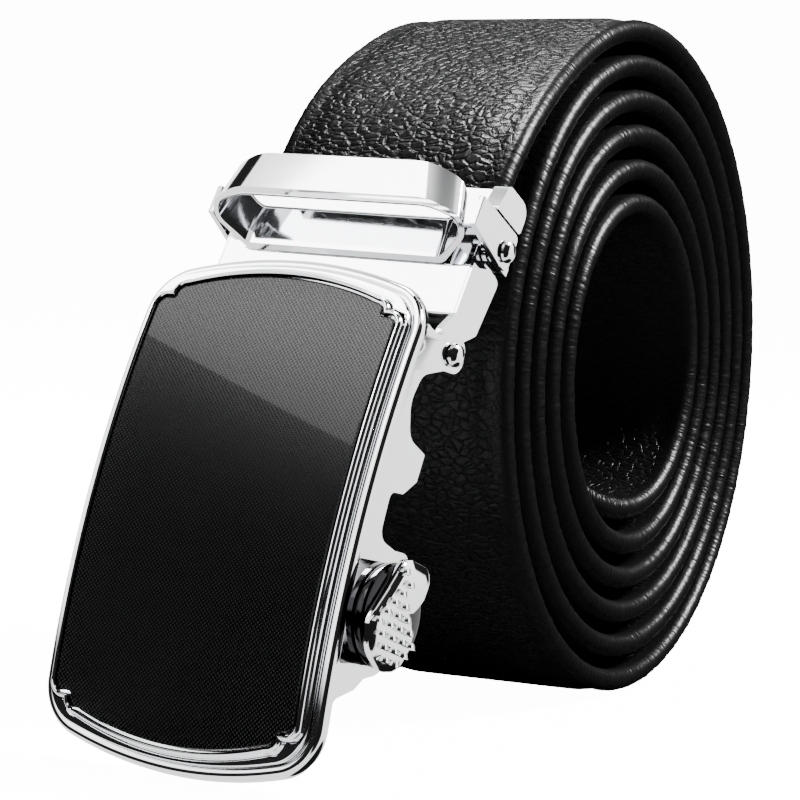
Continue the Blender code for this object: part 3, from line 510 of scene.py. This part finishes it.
def buckle_point(buckle, across, down, rise):
    """Place ahead of the curved face plate, and the outward direction there."""
    sag = PLATE_BEND - math.sqrt(PLATE_BEND**2 - down**2)
    point = buckle @ Vector((across, sag - rise - PIN_BEHIND_FACE, -down - PIN_ABOVE_MIDDLE))
    lean = math.asin(down / PLATE_BEND)
    outward = buckle.to_3x3() @ Vector((0, -math.cos(lean), -math.sin(lean)))
    return point, outward


def joint_named(name):
    return next(joint for joint in frame["joints"] if joint["name"] == name)


def joint_frame(name, up):
    """Frame at a joint: X along its axis, Z as near as that allows to a given way up."""
    joint = joint_named(name)
    x_axis = Vector(joint["axis"]).normalized()
    z_axis = (up - x_axis * up.dot(x_axis)).normalized()
    y_axis = z_axis.cross(x_axis)
    turn = Matrix((x_axis, y_axis, z_axis)).transposed().to_4x4()
    return Matrix.Translation(Vector(joint["pos_m"])) @ turn


def arc(centre, radius, first, last, steps):
    turns = [math.radians(first + (last - first) * i / steps) for i in range(steps + 1)]
    return [(centre[0] + radius * math.cos(turn), centre[1] + radius * math.sin(turn)) for turn in turns]


def filleted(corners, steps):
    """A closed outline from (x, y, radius) corners, with an arc in place of each corner."""
    outline = []
    for i, (x, y, radius) in enumerate(corners):
        corner = Vector((x, y))
        before = Vector(corners[i - 1][:2]) - corner
        after = Vector(corners[(i + 1) % len(corners)][:2]) - corner
        half = before.angle(after) / 2
        reach = min(radius / math.tan(half), 0.48 * before.length, 0.48 * after.length)
        radius = reach * math.tan(half)
        middle = corner + (before.normalized() + after.normalized()).normalized() * radius / math.sin(half)
        start = corner + before.normalized() * reach - middle
        turn = start.angle_signed(corner + after.normalized() * reach - middle)
        outline += [middle + Matrix.Rotation(-turn * k / steps, 2) @ start for k in range(steps + 1)]
    return outline


def plate_half(inset):
    """Right-hand half of the face plate's outline, (across, down), set in by a distance all round."""
    half_w, half_l = PLATE_WIDTH / 2 - inset, PLATE_LENGTH / 2 - inset
    end_radius = PLATE_END_RADIUS - inset
    corner = PLATE_CORNER - inset
    centre_x = half_w - corner
    end_centre = -half_l + end_radius
    centre_y = end_centre - math.sqrt((end_radius - corner) ** 2 - centre_x**2)
    lean = math.degrees(math.asin(centre_x / (end_radius - corner)))
    upper = arc((0.0, end_centre), end_radius, -90, -90 + lean, END_STEPS)
    upper += arc((centre_x, centre_y), corner, -90 + lean, 0, 3 * ARC_POINTS)[1:]
    side = [(half_w, centre_y * (1 - 2 * i / SIDE_STEPS)) for i in range(1, SIDE_STEPS)]
    return upper + side + [(u, -s) for u, s in reversed(upper)]


def inlay_half(inset):
    """Right-hand half of the inlay's outline: a bowed end, a stepped corner, a straight side."""
    half_w, half_l = INLAY_HALF_WIDTH - inset, INLAY_HALF_LENGTH - inset
    shoulder = half_w - INLAY_NOTCH_ASIDE
    outer, inner = INLAY_FILLET - inset / 2, INLAY_FILLET * 0.35 + inset / 2
    end_centre = -half_l + INLAY_END_RADIUS
    lean = math.asin((shoulder - outer) / INLAY_END_RADIUS)
    upper = arc((0.0, end_centre), INLAY_END_RADIUS, -90, -90 + math.degrees(lean), END_STEPS)
    start = upper[-1][1]
    notch = -INLAY_NOTCH_UP + inset
    upper += arc((shoulder - outer, start + outer), outer, -66, 0, ARC_POINTS - 1)
    upper += arc((shoulder + inner, notch - inner), inner, 180, 90, ARC_POINTS - 1)
    upper += arc((half_w - outer, notch + outer), outer, -78, 0, ARC_POINTS - 1)
    side = [(half_w, upper[-1][1] * (1 - 2 * i / SIDE_STEPS)) for i in range(1, SIDE_STEPS)]
    return upper + side + [(u, -s) for u, s in reversed(upper)]


def laddered_mesh(name, rows, matrix, creases):
    """A solid from nested loops of the curved face, (half outline, depth), its ends filled by rungs.

    Edges flatter than creases, in degrees, are shaded smooth.
    """
    bm = bmesh.new()
    uv = bm.loops.layers.uv.new("face")
    half_count = len(rows[0][0])
    count = 2 * half_count - 2
    loops, places = [], {}
    for half, depth in rows:
        outline = half + [(-u, s) for u, s in reversed(half[1:-1])]
        loop = []
        for u, s in outline:
            sag = PLATE_BEND - math.sqrt(PLATE_BEND**2 - s**2)
            vert = bm.verts.new(matrix @ Vector((u, depth + sag - PIN_BEHIND_FACE, -s - PIN_ABOVE_MIDDLE)))
            places[vert] = (u, -s)
            loop.append(vert)
        loops.append(loop)
    skin(bm, loops)
    for loop in (loops[0], loops[-1]):
        for i in range(half_count - 1):
            left, left_after = loop[(count - i) % count], loop[(count - i - 1) % count]
            rung = list(dict.fromkeys([loop[i], loop[i + 1], left_after, left]))
            if len(rung) > 2:
                bm.faces.new(rung)
    bmesh.ops.recalc_face_normals(bm, faces=bm.faces)
    for face in bm.faces:
        face.smooth = True
        for corner in face.loops:
            corner[uv].uv = places[corner.vert]
    smooth_below(bm, creases)
    return mesh_from(bm, name)


def make_face_plate(buckle):
    """A rolled rim, a groove, a flat field, and a rounded bead that follows the inlay."""
    step = RIM_WIDTH + GROOVE_WIDTH
    crest = -INLAY_GAP - 0.75 * MM
    rows = [
        (plate_half(BACK_CHAMFER), PLATE_THICKNESS - 0.03 * MM),
        (plate_half(-0.02 * MM), PLATE_THICKNESS - 2 * BACK_CHAMFER),
        (plate_half(-0.02 * MM), 0.45 * MM),
    ]
    for turn in range(15, 91, 15):
        lean = math.radians(turn)
        depth = 0.45 * MM - (0.45 * MM + RIM_RISE) * math.sin(lean)
        rows.append((plate_half(0.5 * MM * (1 - math.cos(lean))), depth))
    rows += [
        (plate_half(RIM_WIDTH - 0.1 * MM), -RIM_RISE), (plate_half(RIM_WIDTH), -RIM_RISE + 0.06 * MM),
        (plate_half(RIM_WIDTH + 0.04 * MM), 0.0), (plate_half(step), 0.0),
        (plate_half(step + 0.05 * MM), -FIELD_RISE + 0.1 * MM),
        (plate_half(step + 0.14 * MM), -FIELD_RISE),
        (inlay_half(crest - 0.34 * MM), -FIELD_RISE),
        (inlay_half(crest - 0.2 * MM), -FIELD_RISE + 0.3 * MM),
        (inlay_half(crest - 0.08 * MM), -FIELD_RISE + 0.3 * MM),
    ]
    for turn in range(0, 181, 20):
        lean = math.radians(turn)
        rows.append((
            inlay_half(crest + 0.34 * MM * (1 - math.cos(lean))),
            -FIELD_RISE - 0.05 * MM - (BEAD_RISE - FIELD_RISE - 0.05 * MM) * math.sin(lean)))
    rows.append((inlay_half(-INLAY_GAP), -INLAY_RISE + INLAY_THICKNESS + INLAY_GAP))
    return laddered_mesh("face_plate", rows, buckle, 40)


def make_inlay(buckle):
    rows = [
        (inlay_half(-0.12 * MM), -INLAY_RISE + INLAY_THICKNESS),
        (inlay_half(-0.12 * MM), -INLAY_RISE + 0.12 * MM),
        (inlay_half(-0.05 * MM), -INLAY_RISE + 0.02 * MM),
        (inlay_half(0.1 * MM), -INLAY_RISE),
    ]
    return laddered_mesh("dotted_inlay", rows, buckle, 4)


def ring_of_sections(name, sections, creases):
    """A closed tube from equal loops of points, the last joined to the first."""
    bm = bmesh.new()
    loops = [[bm.verts.new(point) for point in section] for section in sections]
    skin(bm, loops + [loops[0]])
    bmesh.ops.recalc_face_normals(bm, faces=bm.faces)
    for face in bm.faces:
        face.smooth = True
    smooth_below(bm, creases)
    return mesh_from(bm, name)


def loop_outline(inset, flare):
    """The keeper loop seen from above, (across, back): flat bars, with the widest point between them."""
    front, back = -LOOP_FRONT, -CLAMP_FRONT
    widest = front + LOOP_CHEEK_BACK
    flat = LOOP_HALF_WIDTH * LOOP_FLAT_SHARE
    wide = LOOP_HALF_WIDTH - inset * 1.15
    lean = inset * 0.35
    return filleted([
        (-flat + lean + flare, front + inset, LOOP_BEND), (flat - lean - flare, front + inset, LOOP_BEND),
        (wide - flare, widest, LOOP_FILLET - inset / 2), (flat - lean, back - inset, LOOP_FILLET),
        (-flat + lean, back - inset, LOOP_FILLET), (-wide + flare, widest, LOOP_FILLET - inset / 2),
    ], 8)


def make_keeper_band(clamp):
    edge = 0.16 * MM
    ring = []
    corners = ((edge, edge, 180), (edge, LOOP_HEIGHT - edge, 90), (LOOP_WALL - edge, LOOP_HEIGHT - edge, 0),
               (LOOP_WALL - edge, edge, -90))
    for inset, height, first in corners:
        ring += arc((inset, height), edge, first, first - 90, 3)
    sections = []
    for inset, height in ring:
        outline = loop_outline(inset, LOOP_FLARE * height / LOOP_HEIGHT)
        foot = LOOP_FOOT + height
        sections.append([
            clamp @ Vector((x, y, foot + LOOP_SLANT * (-CLAMP_FRONT - y))) for x, y in outline])
    return ring_of_sections("keeper_band", sections, 40)


def make_keeper_ears(clamp):
    """A flat ear behind each widest corner of the keeper band, down to the rivet."""
    bm = bmesh.new()
    widest = -LOOP_FRONT + LOOP_CHEEK_BACK
    # from the inner face to the outer one: (across, size of the outline there)
    layers = (
        (EAR_INNER, 1.0), (EAR_OUTER - 0.12 * MM, 1.0), (EAR_OUTER - 0.03 * MM, 0.993), (EAR_OUTER, 0.975))
    for side, start in ((-1, widest + 1.4 * MM), (1, widest - 0.1 * MM)):
        outline = filleted([
            (start, EAR_TOP, 0.1 * MM), (start, EAR_FOOT + 1.2 * MM, 0.1 * MM),
            (RIVET_BACK - 0.6 * MM, EAR_FOOT, 1.2 * MM), (EAR_BACK, EAR_FOOT, 2.2 * MM),
            (EAR_BACK, EAR_TOP, 0.8 * MM),
        ], 6)
        middle = Vector((-1.2 * MM, 16.2 * MM))
        loops = []
        for x, share in layers:
            points = [middle + (point - middle) * share for point in outline]
            loops.append([bm.verts.new(clamp @ Vector((side * x, *point))) for point in points])
        for face in skin(bm, loops):
            face.smooth = True
        bm.faces.new(loops[0])
        bm.faces.new(loops[-1])
    bmesh.ops.recalc_face_normals(bm, faces=bm.faces)
    smooth_below(bm, 30)
    return mesh_from(bm, "keeper_ears")


def grip_outline(inset):
    """The comma-shaped grip about its shaft, (back, up)."""
    scale = 1 - inset / (6.5 * MM)
    return filleted([(back * MM * scale, -down * MM * scale, radius * MM * scale)
                     for down, back, radius in GRIP_CORNERS], 7)


def inside(point, outline):
    """Whether a point lies within a closed outline."""
    crossings = 0
    for i, (x1, y1) in enumerate(outline):
        x2, y2 = outline[i - 1]
        passes = (y1 > point[1]) != (y2 > point[1])
        if passes and point[0] < x1 + (point[1] - y1) * (x2 - x1) / (y2 - y1):
            crossings += 1
    return crossings % 2 == 1


def add_dimple(bm, centre, outward):
    """A raised ring with a hollow in it, like a small crater."""
    turn = outward.to_track_quat("Z", "X").to_matrix()
    # from the foot to the middle: (share of the radius, height in millimetres)
    profile = ((1.2, -0.3), (1.05, 0.05), (0.88, 0.34), (0.68, 0.30), (0.45, -0.05), (0.0, -0.28))
    rings = []
    for share, height in profile[:-1]:
        ring = arc((0.0, 0.0), DIMPLE_RADIUS * share, 0, 360, 12)[:-1]
        rings.append([
            bm.verts.new(centre + turn @ Vector((x, y * DIMPLE_STRETCH, height * MM))) for x, y in ring])
    tip = bm.verts.new(centre + turn @ Vector((0, 0, profile[-1][1] * MM)))
    skin(bm, rings)
    for i, vert in enumerate(rings[-1]):
        bm.faces.new((vert, rings[-1][(i + 1) % 12], tip))
    bm.faces.new(list(reversed(rings[0])))


def finished_lever_mesh(bm, name, pivot):
    """Faces shaded smooth but for sharp edges, put in place."""
    bmesh.ops.recalc_face_normals(bm, faces=bm.faces)
    for face in bm.faces:
        face.smooth = True
    smooth_below(bm, 35)
    bmesh.ops.transform(bm, matrix=pivot, verts=bm.verts)
    return mesh_from(bm, name)


def make_washers(pivot):
    """Two polished washers about the lever's pivot."""
    bm = bmesh.new()
    # washer stack: (along the shaft, radius), as shares of the washer's height and radius
    profile = (
        (0.0, 0.9), (0.04, 0.97), (0.3, 0.97), (0.38, 0.9), (0.48, 0.9), (0.52, 0.98),
        (0.62, 1.0), (0.86, 1.0), (0.97, 0.96), (1.0, 0.9), (1.02, 0.55),
    )
    rings = []
    for share, radius in profile:
        ring = arc((-WASHER_FORWARD, 0.0), WASHER_RADIUS * radius, 0, 360, 72)[:-1]
        rings.append([bm.verts.new((LEVER_START + WASHER_HEIGHT * share, y, z)) for y, z in ring])
    skin(bm, rings)
    bm.faces.new(rings[0])
    bm.faces.new(rings[-1])
    return finished_lever_mesh(bm, "dark_washers", pivot)


def make_grip(pivot):
    """A crowned comma with rows of dimples and a plain polished hook."""
    bm = bmesh.new()
    base = LEVER_START + WASHER_HEIGHT
    # the grip's profile: share of its height, millimetres that its outline is drawn in
    crown = (
        (-0.1, 0.25), (0.0, 0.1), (0.05, 0.0), (0.38, 0.0), (0.52, 0.12),
        (0.68, 0.45), (0.82, 0.95), (0.92, 1.7), (0.98, 2.8), (1.0, 4.2),
    )
    rings = [[bm.verts.new((base + GRIP_HEIGHT * share, y, z)) for y, z in grip_outline(inset * MM)]
             for share, inset in crown]
    skin(bm, rings)
    bm.faces.new(rings[0])
    bm.faces.new(rings[-1])
    surface = BVHTree.FromBMesh(bm)
    outline = [tuple(point) for point in grip_outline(0.75 * MM)]
    for row in range(-6, 7):
        for column in range(-5, 5):
            y = (column + 0.5 * (row % 2)) * DIMPLE_COLUMN - 0.2 * MM
            z = row * DIMPLE_ROW
            on_hook = y > -1.2 * MM and z > 0.8 * MM
            if inside((y, z), outline) and not on_hook:
                above = Vector((base + 9 * MM, y, z))
                place, outward, _, _ = surface.ray_cast(above, Vector((-1, 0, 0)))
                if place:
                    add_dimple(bm, place, outward)
    return finished_lever_mesh(bm, "dimpled_lever", pivot)


# Studio


def card_material(name, value):
    """An even light that gets stronger towards the card's upper edge."""
    material = bpy.data.materials.new(name)
    material.use_nodes = True
    nodes, links = material.node_tree.nodes, material.node_tree.links
    nodes.clear()
    place = nodes.new("ShaderNodeTexCoord")
    parts = add_node(nodes, "ShaderNodeSeparateXYZ")
    links.new(place.outputs["Generated"], parts.inputs[0])
    rising = add_node(nodes, "ShaderNodeMapRange", {1: 0.0, 2: 0.45, 3: value * 0.7, 4: value * 1.3})
    links.new(parts.outputs["Z"], rising.inputs[0])
    light = add_node(nodes, "ShaderNodeEmission", {"Color": (1, 1, 1, 1)})
    links.new(rising.outputs[0], light.inputs["Strength"])
    out = nodes.new("ShaderNodeOutputMaterial")
    links.new(light.outputs[0], out.inputs["Surface"])
    return material


def add_card(name, corners, value):
    """A flat card that the gloss mirrors. The camera doesn't see it."""
    mesh = bpy.data.meshes.new(name)
    mesh.from_pydata(corners, [], [tuple(range(len(corners)))])
    mesh.materials.append(card_material(name, value))
    card = new_object(name, mesh)
    card.visible_camera = False
    card.visible_shadow = False
    card.visible_diffuse = False
    card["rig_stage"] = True
    return card


def add_gloss_card(buckle, coil):
    """A card whose lower edge is mirrored along GLOSS_EDGE, for everything but the leather."""
    edge_points = []
    for across, down in GLOSS_EDGE:
        point, outward = buckle_point(buckle, across, down, INLAY_RISE)
        ray = (point - (coil + CAMERA_FROM_COIL)).normalized()
        mirror = ray - outward * 2 * ray.dot(outward)
        edge_points.append(point + mirror * GLOSS_CARD_DISTANCE)
    left, right = edge_points
    away = (right - left).normalized()
    towards = ((left + right) / 2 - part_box("inlay_panel")[1]).normalized()
    lift = away.cross(towards).normalized()
    lift *= math.copysign(GLOSS_CARD_HEIGHT, lift.z)
    left, right = left - away * GLOSS_CARD_MARGIN, right + away * GLOSS_CARD_MARGIN
    card = add_card("gloss_card", [left, right, right + lift, left + lift], GLOSS_CARD_LIGHT)
    light_only(card, [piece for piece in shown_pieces() if piece.name != "leather_strap"])


def add_area(name, place, target, size, power):
    data = bpy.data.lights.new(name, "AREA")
    data.shape = "RECTANGLE"
    data.size, data.size_y = size
    data.energy = power
    lamp = new_object(name, data)
    lamp.location = place
    lamp.rotation_mode = "QUATERNION"
    lamp.rotation_quaternion = (Vector(target) - Vector(place)).to_track_quat("-Z", "Y")
    lamp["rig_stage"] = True


def add_world():
    """White behind the part for the camera, a soft even light for everything else."""
    world = bpy.data.worlds.new("studio")
    world.use_nodes = True
    bpy.context.scene.world = world
    nodes, links = world.node_tree.nodes, world.node_tree.links
    nodes.clear()
    seen = add_node(nodes, "ShaderNodeBackground", {"Color": (1, 1, 1, 1), "Strength": BACKDROP_LIGHT})
    fill = add_node(nodes, "ShaderNodeBackground", {"Color": (1, 1, 1, 1), "Strength": FILL_LIGHT})
    path = nodes.new("ShaderNodeLightPath")
    pick = nodes.new("ShaderNodeMixShader")
    out = nodes.new("ShaderNodeOutputWorld")
    links.new(path.outputs["Is Camera Ray"], pick.inputs[0])
    links.new(fill.outputs[0], pick.inputs[1])
    links.new(seen.outputs[0], pick.inputs[2])
    links.new(pick.outputs[0], out.inputs["Surface"])


def light_only(source, pieces):
    """Links a light to the pieces that it may reach."""
    receivers = bpy.data.collections.new("lit_by_" + source.name)
    for piece in pieces:
        receivers.objects.link(piece)
    source.light_linking.receiver_collection = receivers


def flag_mask(nodes, links, way, towards, faint, full):
    """One for directions close to a flag's, zero away from it; faint and full are cosines."""
    near = add_node(nodes, "ShaderNodeVectorMath", operation="DOT_PRODUCT")
    near.inputs[1].default_value = towards
    links.new(way, near.inputs[0])
    mask = add_node(nodes, "ShaderNodeMapRange", {1: faint, 2: full, 3: 0.0, 4: 1.0})
    links.new(near.outputs["Value"], mask.inputs[0])
    return mask.outputs[0]


def larger_of(nodes, links, first, second):
    larger = add_node(nodes, "ShaderNodeMath", operation="MAXIMUM")
    links.new(first, larger.inputs[0])
    links.new(second, larger.inputs[1])
    return larger.outputs[0]


def add_tent(centre, metal):
    """A light tent with dark flags, which only the polished metal mirrors."""
    bm = bmesh.new()
    bmesh.ops.create_uvsphere(bm, u_segments=48, v_segments=24, radius=TENT_RADIUS)
    tent = new_object("light_tent", mesh_from(bm, "light_tent"))
    tent.location = centre
    material = bpy.data.materials.new("tent_cloth")
    material.use_nodes = True
    nodes, links = material.node_tree.nodes, material.node_tree.links
    nodes.clear()
    place = add_node(nodes, "ShaderNodeTexCoord")
    way = add_node(nodes, "ShaderNodeVectorMath", operation="NORMALIZE")
    links.new(place.outputs["Object"], way.inputs[0])
    parts = add_node(nodes, "ShaderNodeSeparateXYZ")
    links.new(way.outputs["Vector"], parts.inputs[0])
    scaled = add_node(nodes, "ShaderNodeMapRange", {1: -1.0, 2: 1.0, 3: 0.0, 4: 1.0})
    links.new(parts.outputs["Z"], scaled.inputs[0])
    low = add_ramp(nodes, [(0.0, 0.0), (0.30, 0.0), (0.36, 1.0), (0.56, 1.0), (0.60, 0.0), (1.0, 0.0)])
    links.new(scaled.outputs[0], low.inputs["Fac"])
    front = add_node(nodes, "ShaderNodeMapRange", {1: 0.1, 2: -0.3, 3: 0.0, 4: 1.0})
    links.new(parts.outputs["Y"], front.inputs[0])
    low_front = add_node(nodes, "ShaderNodeMath", operation="MULTIPLY")
    links.new(low.outputs["Color"], low_front.inputs[0])
    links.new(front.outputs[0], low_front.inputs[1])
    top = add_node(nodes, "ShaderNodeMapRange", {1: 0.86, 2: 0.93, 3: 0.0, 4: 1.0})
    links.new(parts.outputs["Z"], top.inputs[0])
    beside = flag_mask(nodes, links, way.outputs["Vector"], DARK_SIDE, 0.62, 0.70)
    dark = larger_of(nodes, links, low_front.outputs[0], beside)
    dark = larger_of(nodes, links, dark, top.outputs[0])
    for flag, width in DARK_FLAGS:
        towards = Vector(flag).normalized()
        shade = flag_mask(
            nodes, links, way.outputs["Vector"], towards, math.cos(width), math.cos(width * 0.85))
        dark = larger_of(nodes, links, dark, shade)
    cloth = add_ramp(nodes, [(0.0, 0.5), (0.40, 0.62), (0.55, 0.8), (0.66, 1.0), (0.8, 0.9), (0.95, 0.4)])
    links.new(scaled.outputs[0], cloth.inputs["Fac"])
    lit = add_node(nodes, "ShaderNodeMapRange", {1: 0.0, 2: 1.0, 3: STUDIO_LIGHT, 4: FLAG_LIGHT})
    links.new(dark, lit.inputs[0])
    bright = add_node(nodes, "ShaderNodeMath", operation="MULTIPLY")
    links.new(cloth.outputs["Color"], bright.inputs[0])
    links.new(lit.outputs[0], bright.inputs[1])
    light = add_node(nodes, "ShaderNodeEmission", {"Color": (1, 1, 1, 1)})
    links.new(bright.outputs[0], light.inputs["Strength"])
    out = nodes.new("ShaderNodeOutputMaterial")
    links.new(light.outputs[0], out.inputs["Surface"])
    tent.data.materials.append(material)
    tent.visible_camera = False
    tent.visible_shadow = False
    tent.visible_diffuse = False
    light_only(tent, metal)
    tent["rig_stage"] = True


def add_floor():
    mesh = bpy.data.meshes.new("floor")
    corners = [(FLOOR_REACH * x, FLOOR_REACH * y, 0) for x, y in ((-1, -1), (1, -1), (1, 1), (-1, 1))]
    mesh.from_pydata(corners, [], [(0, 1, 2, 3)])
    floor = new_object("floor", mesh)
    floor.location.z = -FLOOR_GAP
    material, nodes, links, shader = new_material("pale_floor")
    shader.inputs["Base Color"].default_value = (0.93, 0.93, 0.93, 1.0)
    shader.inputs["Roughness"].default_value = 0.8
    # for the camera the floor runs into the white backdrop
    path = nodes.new("ShaderNodeLightPath")
    glow = add_node(nodes, "ShaderNodeMath", {1: BACKDROP_LIGHT}, operation="MULTIPLY")
    links.new(path.outputs["Is Camera Ray"], glow.inputs[0])
    shader.inputs["Emission Color"].default_value = (1.0, 1.0, 1.0, 1.0)
    links.new(glow.outputs[0], shader.inputs["Emission Strength"])
    floor.visible_glossy = False
    mesh.materials.append(material)
    floor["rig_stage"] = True


def add_camera(coil):
    forward = Vector((
        -math.sin(CAMERA_AZIMUTH) * math.cos(CAMERA_ELEVATION),
        math.cos(CAMERA_AZIMUTH) * math.cos(CAMERA_ELEVATION),
        -math.sin(CAMERA_ELEVATION)))
    right = Vector((math.cos(CAMERA_AZIMUTH), math.sin(CAMERA_AZIMUTH), 0.0))
    up = right.cross(forward)
    across = right * math.cos(CAMERA_ROLL) + up * math.sin(CAMERA_ROLL)
    upward = up * math.cos(CAMERA_ROLL) - right * math.sin(CAMERA_ROLL)
    data = bpy.data.cameras.new("camera")
    data.sensor_width = 36.0
    data.lens = CAMERA_LENS
    data.clip_start = 0.01
    data.clip_end = 50.0
    camera = new_object("camera", data)
    turn = Matrix((across, upward, -forward)).transposed().to_4x4()
    camera.matrix_world = Matrix.Translation(coil + CAMERA_FROM_COIL) @ turn
    bpy.context.scene.camera = camera


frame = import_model()

strap_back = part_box("strap")[1].y
rear = [vert.co.x for vert in frame["nodes"]["strap"].data.vertices if vert.co.y > strap_back - 20 * MM]
coil_centre = Vector(((min(rear) + max(rear)) / 2, strap_back - COIL_REACH, COIL_AXIS_HEIGHT))
buckle = joint_frame("buckle_hinge", BUCKLE_UP)
to_buckle = buckle.inverted()
clamp = buckle @ Matrix.Rotation(CLAMP_TILT_PAST_BUCKLE, 4, "X")
pivot = Matrix.Translation(Vector(joint_named("release_lever_pivot")["pos_m"])) @ buckle.to_3x3().to_4x4()

leather = leather_material()
chrome = chrome_material("chrome_looks", (0.86, 0.87, 0.89), (0.93, 0.935, 0.95))
dark_chrome = chrome_material("dark_chrome_looks", (0.010, 0.010, 0.011), (0.035, 0.035, 0.038))
lacquer = inlay_material()


def behind_face(point):
    """Whether a place on the buckle lies behind its face plate."""
    local = to_buckle @ point
    down = -local.z - PIN_ABOVE_MIDDLE
    return local.y + PIN_BEHIND_FACE - (PLATE_BEND - math.sqrt(PLATE_BEND**2 - down**2)) > 1.0 * MM


add_piece("leather_strap", make_strap(coil_centre, clamp), leather, "root", ["strap"])
add_piece("face_plate", make_face_plate(buckle), chrome, "buckle", ["buckle_frame"])
add_piece("dotted_inlay", make_inlay(buckle), lacquer, "buckle", ["inlay_panel"])
add_piece("keeper_band", make_keeper_band(clamp), chrome, "root", ["keeper_loop"])
add_piece("dimpled_lever", make_grip(pivot), chrome, "release_lever", ["release_lever"])
add_piece(
    "dark_washers", make_washers(pivot), dark_chrome, "release_lever", ["release_lever"])
polished_copy("side_flanges", "buckle_frame", 0.12 * MM, behind_face)
add_piece("keeper_ears", make_keeper_ears(clamp), chrome, "root", ["keeper_loop"])
for node, bevel in (
    ("clamp_base", 0.18 * MM), ("clamp_door", 0.1 * MM), ("clamp_rivet_left", 0.0),
    ("clamp_rivet_right", 0.0), ("hinge_pin", 0.0), ("pawl", 0.1 * MM),
):
    polished_copy("polished_" + node, node, bevel)

add_world()
not_metal = ("leather_strap", "dotted_inlay")
add_tent(coil_centre, [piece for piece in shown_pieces() if piece.name not in not_metal])
add_floor()
add_camera(coil_centre)
add_gloss_card(buckle, coil_centre)
add_area("key", KEY_PLACE, KEY_TARGET, KEY_SIZE, KEY_POWER)
add_area("side", SIDE_PLACE, SIDE_TARGET, SIDE_SIZE, SIDE_POWER)
